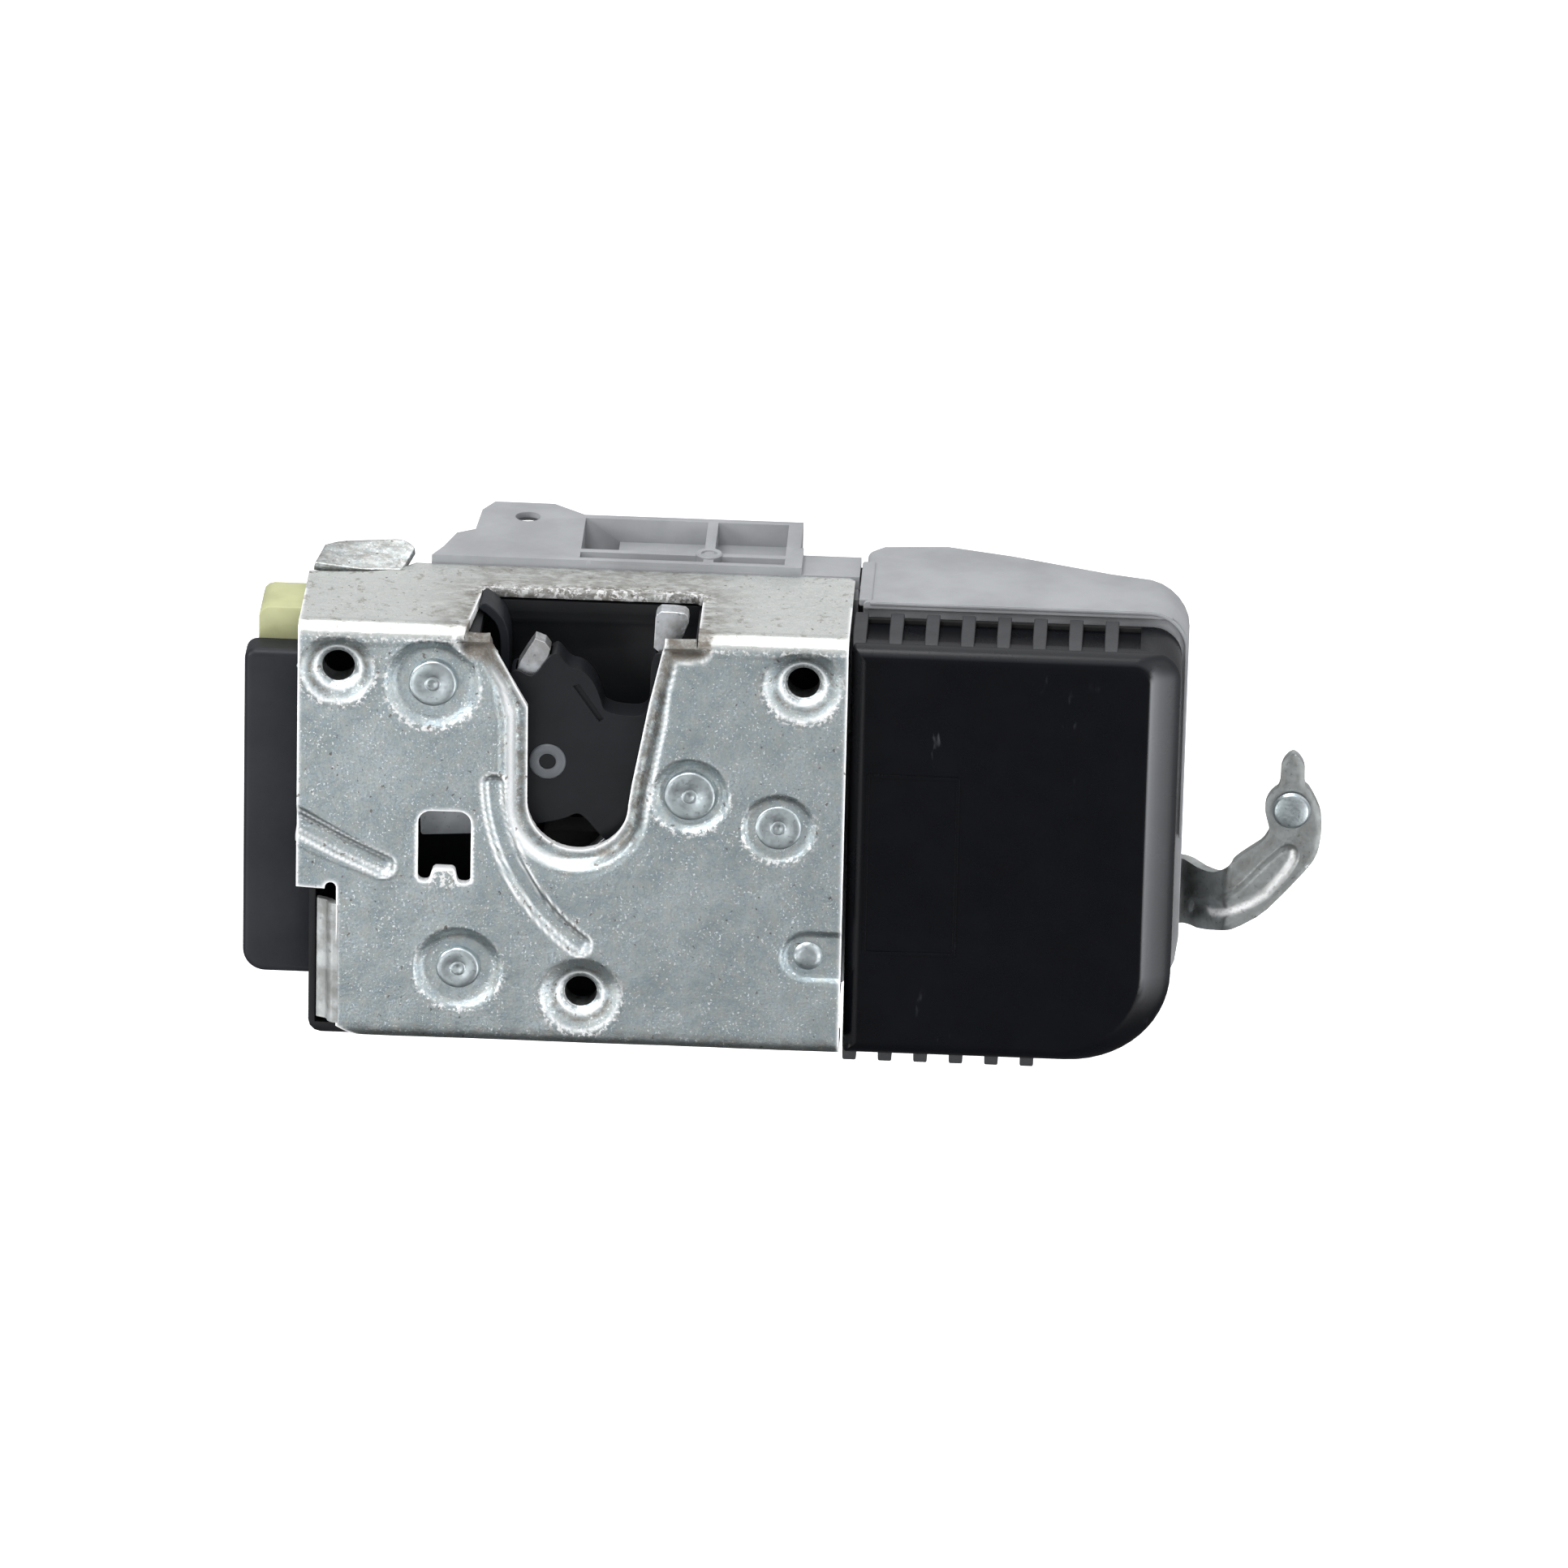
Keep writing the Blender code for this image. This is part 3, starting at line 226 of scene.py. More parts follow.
def loft(layers):
    """A solid through loops of equal length, each given as (loop, level along Y)."""
    count = len(layers[0][0])
    points = [(across, level, up) for loop, level in layers for across, up in loop]
    faces = []
    for ring in range(0, len(points) - count, count):
        for index in range(count):
            after = (index + 1) % count
            faces.append((ring + index, ring + after, ring + count + after, ring + count + index))
    ends = [range(count), range(len(points) - count, len(points))]
    return solid(points, faces + [tuple(end) for end in ends])


def combine(shape, tools, operation):
    for tool in tools:
        modifier = shape.modifiers.new("combine", "BOOLEAN")
        modifier.solver = "EXACT"
        modifier.operation = operation
        modifier.object = tool
        shape = baked(shape)
        bpy.data.objects.remove(tool, do_unlink=True)
    return shape


def joined(shape, *tools):
    return combine(shape, tools, "UNION")


def cut(shape, *tools):
    return combine(shape, tools, "DIFFERENCE")


def revolved(place, profile, sides=48, axis="Y", sharp=None):
    """A smooth solid turned about an axis through the place, from its profile of (radius, level)."""
    points, rings, faces = [], [], []
    for radius, level in profile:
        count = sides if radius else 1
        rings.append(range(len(points), len(points) + count))
        for side in range(count):
            angle = 2 * pi * side / sides
            across, up = place[0] + radius * cos(angle), place[1] + radius * sin(angle)
            points.append((across, level, up) if axis == "Y" else (across, up, level))
    pairs = list(zip(rings, rings[1:]))
    if profile[0][0] and profile[-1][0]:
        pairs.append((rings[-1], rings[0]))
    for ring, following in pairs:
        for index in range(sides):
            after = (index + 1) % sides
            corners = [ring[index % len(ring)], ring[after % len(ring)]]
            corners += [following[after % len(following)], following[index % len(following)]]
            faces.append(list(dict.fromkeys(corners)))
    shape = solid(points, faces)
    shape.data.shade_smooth()
    if sharp:
        shape.data.set_sharp_from_angle(angle=radians(sharp))
    return shape


# Finishing: edges, shading and where each piece belongs


def soften(shape, width, segments=3, angle=30, flat=True):
    """Dissolves flat seams, where asked, and rounds the sharp edges by the width."""
    if flat:
        tidy = shape.modifiers.new("flat", "DECIMATE")
        tidy.decimate_type = "DISSOLVE"
        tidy.angle_limit = radians(0.5)
    rounds = shape.modifiers.new("rounds", "BEVEL")
    rounds.width = width * MM
    rounds.segments = segments
    rounds.limit_method = "ANGLE"
    rounds.angle_limit = radians(angle)
    rounds.miter_outer = "MITER_ARC"
    rounds.harden_normals = True
    shape.data.shade_smooth()
    return shape


def stands_for(shape, name, slot, *nodes, body="latch", look=None):
    """Names a new piece, gives it its material, and puts it in place of CAD nodes."""
    shape.name = name
    shape.data.name = name
    shape.data.materials.clear()
    shape.data.materials.append(MATERIALS[look or slot])
    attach(shape, body)
    if nodes:
        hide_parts(*nodes)


def dress_node(name, look):
    """A CAD node that stays: its edges rounded, and a full material."""
    node = NODES[name]
    weld = node.modifiers.new("weld", "WELD")
    weld.merge_threshold = WELD * MM
    soften(node, 0.2, flat=name not in KEPT_FACES)
    node.data.materials.clear()
    node.data.materials.append(MATERIALS[look])


# Materials


class Nodes:
    """A node tree, with short ways to add nodes and to feed their sockets."""

    def __init__(self, tree):
        self.tree = tree

    def node(self, kind, **values):
        made = self.tree.nodes.new(kind)
        for key, value in values.items():
            setattr(made, key, value)
        return made

    def feed(self, socket, value):
        """Gives a socket its own number or colour, or links it to a node's output."""
        if isinstance(value, tuple):
            socket.default_value = (*value, 1)
        elif isinstance(value, (int, float)):
            socket.default_value = value
        else:
            self.tree.links.new(value, socket)

    def spread(self, value, low, high, out_low=0, out_high=1, curve="SMOOTHSTEP"):
        """The value's range from low to high, moved to another range."""
        made = self.node("ShaderNodeMapRange", interpolation_type=curve)
        names = ("Value", "From Min", "From Max", "To Min", "To Max")
        for name, source in zip(names, (value, low, high, out_low, out_high)):
            self.feed(made.inputs[name], source)
        return made.outputs["Result"]

    def times(self, first, second, operation="MULTIPLY"):
        """The product of two values, or what another operation makes of them."""
        made = self.node("ShaderNodeMath", operation=operation)
        self.feed(made.inputs[0], first)
        self.feed(made.inputs[1], second)
        return made.outputs["Value"]

    def mixed(self, share, first, second):
        made = self.node("ShaderNodeMix", data_type="RGBA")
        for number, value in ((0, share), (6, first), (7, second)):
            self.feed(made.inputs[number], value)
        return made.outputs[2]


class Surface(Nodes):
    """A Principled material whose colour is laid on in coats."""

    def __init__(self, name, metallic=0, specular=0.5):
        self.material = bpy.data.materials.new(name)
        self.material.use_nodes = True
        super().__init__(self.material.node_tree)
        self.shader = self.tree.nodes["Principled BSDF"].inputs
        self.shader["Metallic"].default_value = metallic
        self.shader["Specular IOR Level"].default_value = specular
        self.place = self.node("ShaderNodeTexCoord").outputs["Object"]
        self.colour = None
        self.normal = None

    def noise(self, scale, detail=3, roughness=0.55, stretch=None):
        """Noise whose scale is in features per metre."""
        made = self.node("ShaderNodeTexNoise")
        source = self.place
        if stretch:
            mapping = self.node("ShaderNodeMapping")
            mapping.inputs["Scale"].default_value = stretch
            self.feed(mapping.inputs["Vector"], source)
            source = mapping.outputs["Vector"]
        names = ("Vector", "Scale", "Detail", "Roughness")
        for name, value in zip(names, (source, scale, detail, roughness)):
            self.feed(made.inputs[name], value)
        return made.outputs["Fac"]

    def patches(self, low, high, *noise, **more):
        """Noise spread out to 0 below the low value and 1 above the high one."""
        return self.spread(self.noise(*noise, **more), low, high)

    def coat(self, share, colour, strength=None):
        """Lays a colour over what is there, as strongly as the share says."""
        if strength:
            share = self.times(share, strength)
        self.colour = self.mixed(share, self.colour, colour)

    def painted(self, name):
        """A share that the mesh itself holds at each point."""
        return self.node("ShaderNodeAttribute", attribute_name=name).outputs["Fac"]

    def bump(self, height, distance):
        """Adds a relief whose height is in millimetres."""
        made = self.node("ShaderNodeBump")
        made.inputs["Distance"].default_value = distance * MM
        self.feed(made.inputs["Height"], height)
        if self.normal is not None:
            self.feed(made.inputs["Normal"], self.normal)
        self.normal = made.outputs["Normal"]

    def finish(self, roughness):
        self.feed(self.shader["Base Color"], self.colour)
        self.feed(self.shader["Roughness"], roughness)
        if self.normal is not None:
            self.feed(self.shader["Normal"], self.normal)
        return self.material


def zinc_material():
    """Zinc-plated pressed steel: spangle and specks, edges bright from wear and painted highlight,
    painted glints at burrs, brown grease and soot with painted shade in creases, and a top painted
    lighter.
    """
    zinc = Surface("zinc_steel", metallic=1)
    grain = zinc.noise(2300, 5, 0.75)
    cream_and_top_light, wear_and_highlight = zinc.painted("cream_and_top_light"), zinc.painted("wear_and_highlight")
    clouds = zinc.patches(0.3, 0.7, 110, 4)
    zinc.colour = zinc.mixed(clouds, (0.29, 0.36, 0.39), (0.44, 0.51, 0.54))
    zinc.coat(zinc.spread(grain, 0.44, 0.6, 0, 0.62), (0.27, 0.305, 0.32))
    zinc.coat(zinc.patches(0.38, 0.66, 620, 4, 0.6), (0.5, 0.49, 0.44), 0.4)
    flecks = zinc.patches(0.6, 0.68, 2600, 2, 0.5)
    crowds = zinc.spread(zinc.noise(260, 3), 0.36, 0.62, 0.1, 0.8)
    zinc.coat(zinc.times(flecks, crowds), (0.9, 0.94, 0.96))
    # The top flange, painted lighter and creamier: partly its tint, partly painted light on a face lit
    # from above.
    zinc.coat(cream_and_top_light, (0.93, 0.94, 0.9), 0.62)
    # Brown grease, with painted shade in creases and recesses, laid on in blotches.
    blotches = zinc.patches(0.3, 0.64, 700, 5, 0.7, stretch=(0.5, 1, 1))
    grime_and_shade = zinc.times(zinc.painted("grime_and_shade"), zinc.times(blotches, 0.92))
    zinc.coat(grime_and_shade, (0.125, 0.105, 0.085))
    # White glints painted in specks at burrs and pressed edges.
    zinc.coat(zinc.patches(0.49, 0.58, 1300, 3, 0.6), (0.97, 0.97, 0.97), zinc.painted("burr_and_glint"))
    # Near white where the edges are worn, and as a painted highlight on edges, rims and rings.
    zinc.coat(wear_and_highlight, (0.97, 0.98, 0.99))
    zinc.coat(zinc.patches(0.67, 0.73, 1000, 2, 0.5), (0.12, 0.1, 0.08), 0.75)
    spots = zinc.patches(0.56, 0.66, 520, 5, 0.7)
    zinc.coat(zinc.times(spots, cream_and_top_light), (0.34, 0.32, 0.27), 0.6)
    soot = zinc.times(zinc.painted("soot"), zinc.spread(grain, 0.3, 0.6, 0.7, 1))
    zinc.coat(soot, (0.1, 0.086, 0.07))
    rough = zinc.spread(grain, 0.3, 0.7, 0.28, 0.44)
    rough = zinc.times(rough, zinc.times(grime_and_shade, 0.15), "ADD")
    rough = zinc.times(rough, zinc.times(soot, 0.3), "ADD")
    dull = zinc.times(zinc.times(wear_and_highlight, 0.6), zinc.times(soot, 0.85), "MAXIMUM")
    zinc.feed(zinc.shader["Metallic"], zinc.spread(dull, 0, 1, 1, 0))
    zinc.bump(grain, 0.06)
    zinc.bump(zinc.noise(420, 3), 0.08)
    return zinc.finish(rough)


def steel_material(name, light, dark, rough, metallic=1, painted_glint=False):
    """Plain or plated steel: soft clouds, fine pits and, where asked, a painted highlight."""
    steel = Surface(name, metallic=metallic)
    grain = steel.noise(1800, 3, 0.7)
    clouds = steel.patches(0.35, 0.65, 300, 4)
    steel.colour = steel.mixed(clouds, dark, light)
    pits = steel.patches(0.62, 0.72, 1300, 2)
    steel.coat(pits, tuple(channel * 0.4 for channel in dark), 0.5)
    if painted_glint:
        # A painted highlight, near white and less metallic, where the mesh holds it.
        wear_and_highlight = steel.times(steel.painted("wear_and_highlight"), steel.spread(grain, 0.25, 0.5, 0.5, 1))
        steel.coat(wear_and_highlight, (0.95, 0.96, 0.96))
        steel.feed(steel.shader["Metallic"], steel.spread(wear_and_highlight, 0, 1, metallic, 0.25))
    steel.bump(grain, 0.02)
    return steel.finish(steel.spread(grain, 0.3, 0.7, rough - 0.06, rough + 0.1))


def plastic_material(name, colour, rough, grain, scuffs=0, specular=0.35, mottling=0.12):
    """Moulded plastic: fine grain, slight mottling and, where asked, pale scuffs and a painted
    highlight.
    """
    moulded = Surface(name, specular=specular)
    mottle = moulded.patches(0.3, 0.7, 120, 4)
    shades = [tuple(channel * (1 + sign * mottling) for channel in colour) for sign in (-1, 1)]
    moulded.colour = moulded.mixed(mottle, *shades)
    if scuffs:
        streaks = moulded.patches(0.66, 0.76, 520, 3, 0.6, stretch=(1, 1, 0.28))
        marks = moulded.times(streaks, moulded.patches(0.52, 0.7, 60, 3))
        pale = tuple(min(1, channel * 3 + 0.02) for channel in colour)
        moulded.coat(marks, pale, scuffs)
        # A painted highlight, where the mesh holds it.
        moulded.coat(moulded.painted("painted_sheen"), (0.135, 0.14, 0.15))
    moulded.bump(moulded.noise(2600, 2, 0.6), grain)
    return moulded.finish(moulded.spread(moulded.noise(200, 3), 0.3, 0.7, rough - 0.02, rough + 0.03))


STEELS = {
    # name: light and dark colour, roughness, how metallic, whether it has a painted highlight
    "bare_steel": ((0.56, 0.58, 0.58), (0.4, 0.42, 0.42), 0.34),
    "lever_steel": ((0.43, 0.455, 0.455), (0.33, 0.345, 0.34), 0.42, 1, True),
    # The release lever: painted near white as lit, though it sits in shade behind the window.
    "lit_foot_steel": ((0.9, 0.94, 0.98), (0.74, 0.78, 0.82), 0.5, 0.2),
    "spring_steel": ((0.3, 0.3, 0.31), (0.16, 0.16, 0.16), 0.3),
    "rivet_steel": ((0.51, 0.58, 0.6), (0.37, 0.41, 0.43), 0.36),
    "edge_steel": ((0.3, 0.315, 0.315), (0.16, 0.165, 0.16), 0.4, 0.35),
    "claw_steel": ((0.62, 0.65, 0.68), (0.38, 0.38, 0.38), 0.42),
    "brass": ((0.72, 0.54, 0.26), (0.55, 0.4, 0.18), 0.3),
}
PLASTICS = {
    # name: colour, roughness, depth of grain, scuffs, specular level, mottling
    "black_plastic": ((0.0013, 0.0016, 0.0028), 0.28, 0.006, 1, 0.15),
    # The cover's black plastic painted lighter for the ribs, as lit where they catch the light above the
    # shaded gaps.
    "lit_rib_plastic": ((0.03, 0.031, 0.034), 0.5, 0.02, 0.4, 0.25),
    "side_plastic": ((0.011, 0.0125, 0.016), 0.45, 0.015, 0, 0.22),
    "case_plastic": ((0.005, 0.0055, 0.0065), 0.5, 0.012, 0, 0.25),
    "grey_plastic": ((0.236, 0.243, 0.254), 0.55, 0.02, 0.12, 0.35, 0.09),
    "jacket_plastic": ((0.007, 0.0078, 0.0096), 0.42, 0.012, 0, 0.2),
    "boss_plastic": ((0.075, 0.082, 0.09), 0.4, 0.02, 0, 0.4),
    "natural_nylon": ((0.33, 0.34, 0.185), 0.42, 0.01),
    "gear_plastic": ((0.72, 0.71, 0.66), 0.4, 0.008),
    "rubber": ((0.012, 0.012, 0.012), 0.8, 0.03),
}
MATERIALS = {"zinc_steel": zinc_material()}
MATERIALS |= {name: steel_material(name, *values) for name, values in STEELS.items()}
MATERIALS |= {name: plastic_material(name, *values) for name, values in PLASTICS.items()}


# Latch plate: one folded sheet with pressed features


def slot_edge():
    """The striker slot's edge, from its top right round the bottom to its top left."""
    edge = [(17.2, 45.2), (12.3, 44.7), (11.9, 43.6), (10, 34.9), (7.6, 21.5)]
    edge += arc(SLOT_CENTRE, SLOT_RADIUS, 0, -180, 30)
    return edge + [(-8.6, 33.5), (-14.5, 44.4), (-17.4, 44.4)] + arc((-17.4, 45.4), 1, 270, 180, 4)[1:]


def flat_top(depth):
    """The height on the unfolded sheet of a point on the top flange at that depth."""
    return PLATE_TOP - BEND_RADIUS + BEND_RADIUS * pi / 2 + depth - BEND_RADIUS


def folded(points, depths):
    """Folds the flat sheet: the front stays in XZ, and both flanges turn back."""
    x, v = points[:, 0], points[:, 1]
    top, bottom = PLATE_TOP - BEND_RADIUS, PLATE_BOTTOM + BEND_RADIUS
    quarter = BEND_RADIUS * pi / 2
    y, z = depths.copy(), v.copy()
    up = np.clip(v - top, 0, quarter) / BEND_RADIUS
    down = np.clip(bottom - v, 0, quarter) / BEND_RADIUS
    y += BEND_RADIUS * (1 - np.cos(up)) + np.clip(v - top - quarter, 0, None)
    y += BEND_RADIUS * (1 - np.cos(down)) + np.clip(bottom - v - quarter, 0, None)
    z = np.where(v > top, top + BEND_RADIUS * np.sin(up), z)
    z = np.where(v < bottom, bottom - BEND_RADIUS * np.sin(down), z)
    return np.stack([x, y, z], axis=1)


def whole_outline():
    """The outer edge of the front and both flanges, as one loop on the unfolded sheet."""
    low = PLATE_BOTTOM + BEND_RADIUS - BEND_RADIUS * pi / 2 - 6.5
    loop = [(-37.5, -19.8), (-35.6, -20.9), (-33.5, -22.2)]
    loop += [(-33, low + 1), (-32, low), (39.4, low), (40.4, low + 1)]
    rear = [(40.4, FLANGE_BACK - 1), (39.4, FLANGE_BACK), (-27.6, FLANGE_BACK)]
    rear += [(-29, 25.6), (-32, 23.6), (-35.4, 22.6), (-43.8, 22.2)]
    loop += [(x, flat_top(depth)) for x, depth in rear]
    return loop + [(-43.8, 3.4), (-39.4, 3.2), *arc((-38.5, 3.4), 0.9, 190, 10, 6), (-37.6, 1.6)]


def opening_loop():
    """The striker opening: the slot on the front, and the notch in the top flange."""
    back, corner = flat_top(NOTCH_BACK), 1.2
    loop = [(-18.4, 45.6), (-18, flat_top(2)), (NOTCH_LEFT, flat_top(15.5)), (NOTCH_LEFT, back - corner)]
    loop += [(NOTCH_LEFT + corner, back), (NOTCH_RIGHT - corner, back), (NOTCH_RIGHT, back - corner)]
    return loop + [(NOTCH_RIGHT, 45.6)] + slot_edge()[:-1]


def step_down(distance, inner, outer):
    """1 inside the inner distance and 0 beyond the outer one, eased at both ends."""
    share = np.clip((outer - distance) / (outer - inner), 0, 1)
    return share * share * (3 - 2 * share)


def wall(distance, inner, outer, soft=0.3):
    """1 inside the inner distance and 0 beyond the outer one: a straight slope with small rounds."""
    shifted = [outer - distance - soft * offset for offset in (-1, -0.5, 0, 0.5, 1)]
    return sum(np.clip(reach / (outer - inner), 0, 1) for reach in shifted) / len(shifted)


def lip(distance, place, width=0.3):
    """A narrow line at that distance, strongest in its middle."""
    return np.exp(-(((distance - place) / width) ** 2))


def strongest(*shares):
    """The largest of the shares at each point."""
    return np.maximum.reduce(shares)


def from_path(x, z, path, closed=False):
    """How far each point is from a path of straight stretches."""
    ends = path[1:] + path[:1] if closed else path[1:]
    best = np.full(x.shape, np.inf)
    for (ax, az), (bx, bz) in zip(path, ends):
        length = (bx - ax) ** 2 + (bz - az) ** 2
        along = np.clip(((x - ax) * (bx - ax) + (z - az) * (bz - az)) / max(length, 1e-12), 0, 1)
        best = np.minimum(best, np.hypot(x - ax - along * (bx - ax), z - az - along * (bz - az)))
    return best


RIVETS = (
    # place, floor radius, outer radius, depth
    (RELEASE_PIVOT, 5.7, 7.4, 1.1),
    (PAWL_PIVOT, 5.4, 6.9, 1.05),
    (CLAW_PIVOT, 4.8, 6.2, 1.05),
    (STUD_PLACE, 4.9, 5.7, 0.6),
)
LONG_BEAD = arc((21.2, 22.9), 34.8, 182.5, 232.5, 24)
LEFT_BEAD = [(-46.5, 15.3), (-42.5, 13.3), (-37, 10.4), (-30.4, 7.4)]


def rim_reach(x, z):
    """How far the slot's pressed rim reaches out from its edge: widest at the left, less at the top."""
    side = np.clip((x + 0.7) / 16, -0.5, 0.5) + 0.5
    reach = 4.3 * (1 - side) + 3.1 * side
    high = np.clip((z - 33) / 5, 0, 1)
    return reach * (1 - high) + 2.5 * high


def rim_depth(share):
    """The rim's profile from the slot's edge, 0, to its outer line, 1: lip, wall and low step."""
    return np.interp(share, (0, 0.34, 0.42, 0.72, 0.8, 0.95, 1), (2.35, 2.2, 2, 0.5, 0.28, 0.2, 0))


def pressed_depth(x, z):
    """How far the plate's features are pressed back from its front, in millimetres."""
    depth = np.zeros_like(x)
    for place_x, place_z, outer in THREADS:
        ring = np.hypot(x - place_x, z - place_z)
        cone = 1.35 * wall(ring, 3.6, outer - 0.1) + 0.8 * wall(ring, 2.6, 3.3, 0.2)
        depth = np.maximum(depth, cone) - 0.16 * lip(ring, outer + 0.25)
    for (place_x, place_z), floor, outer, deep in RIVETS:
        ring = np.hypot(x - place_x, z - place_z)
        depth = np.maximum(depth, deep * wall(ring, floor, outer)) - 0.12 * lip(ring, outer + 0.2)
    across, up = x - RIVET_PLACE[0], z - RIVET_PLACE[1]
    room = np.where(across > 0, np.abs(up), np.hypot(across, up))
    depth = np.maximum(depth, 0.7 * wall(room, 3.5, 4.2, 0.2)) - 0.12 * lip(room, 4.5, 0.25)
    bead = from_path(x, z, LONG_BEAD)
    depth = np.maximum(depth, 0.75 * wall(bead, 0.95, 1.75, 0.25)) - 0.14 * lip(bead, 2.05, 0.22)
    half_width = 1.9 + 0.06 * np.clip(-30 - x, 0, 14)
    left = from_path(x, z, LEFT_BEAD) * 1.9 / half_width
    depth = np.maximum(depth, 0.85 * wall(left, 0.7, 1.8, 0.25)) - 0.14 * lip(left, 2.05, 0.25)
    share = from_path(x, z, slot_edge()) / rim_reach(x, z)
    rim = sum(rim_depth(np.abs(share + offset)) for offset in (-0.04, 0, 0.04)) / 3
    return np.where(share < 1.04, np.maximum(depth, rim), depth)


def inside(points, loop):
    """Whether each point lies inside the closed loop."""
    x, z = points[:, 0], points[:, 1]
    found = np.zeros(len(points), bool)
    for (ax, az), (bx, bz) in zip(loop, loop[1:] + loop[:1]):
        if az == bz:
            continue
        crosses = (az > z) != (bz > z)
        found ^= crosses & (x < (bx - ax) * (z - az) / (bz - az) + ax)
    return found


def sheet_mesh(outline, holes, creases, spacing):
    """Points and triangles that fill the outline round its holes, with edges along the creases."""
    loops = [resampled(loop, spacing * 0.8) for loop in [outline] + holes + creases]
    low, high = np.min(outline, axis=0), np.max(outline, axis=0)
    columns, rows = np.arange(low[0], high[0], spacing), np.arange(low[1], high[1], spacing * 0.87)
    grid_x, grid_z = np.meshgrid(columns, rows)
    grid_x = grid_x + np.where(np.arange(len(rows)) % 2, spacing / 2, 0)[:, None]
    grid = np.stack([grid_x.ravel(), grid_z.ravel()], axis=1)
    keep = inside(grid, outline)
    for hole in holes:
        keep &= ~inside(grid, hole)
    grid = grid[keep]
    fixed = np.concatenate([np.array(loop) for loop in loops])
    room = spacing * 0.7
    taken = {tuple(cell) for cell in np.floor(fixed / room).astype(int)}
    grid = grid[[tuple(cell) not in taken for cell in np.floor(grid / room).astype(int)]]
    edges, start = [], 0
    for loop in loops:
        edges += [(start + index, start + (index + 1) % len(loop)) for index in range(len(loop))]
        start += len(loop)
    points = [Vector(point) for point in fixed] + [Vector(point) for point in grid]
    placed, _, faces, *_ = delaunay_2d_cdt(points, edges, [], 0, 1e-5)
    placed = np.array([tuple(point) for point in placed])
    faces = np.array(faces)
    middles = placed[faces].mean(axis=1)
    good = inside(middles, loops[0])
    for loop in loops[1 : 1 + len(holes)]:
        good &= ~inside(middles, loop)
    return placed, faces[good]


def paint(mesh, name, values):
    """Stores a share at each of the mesh's points, for its material to read."""
    layer = mesh.attributes.new(name, "FLOAT", "POINT")
    layer.data.foreach_set("value", np.clip(values, 0, 1).astype(np.float32))


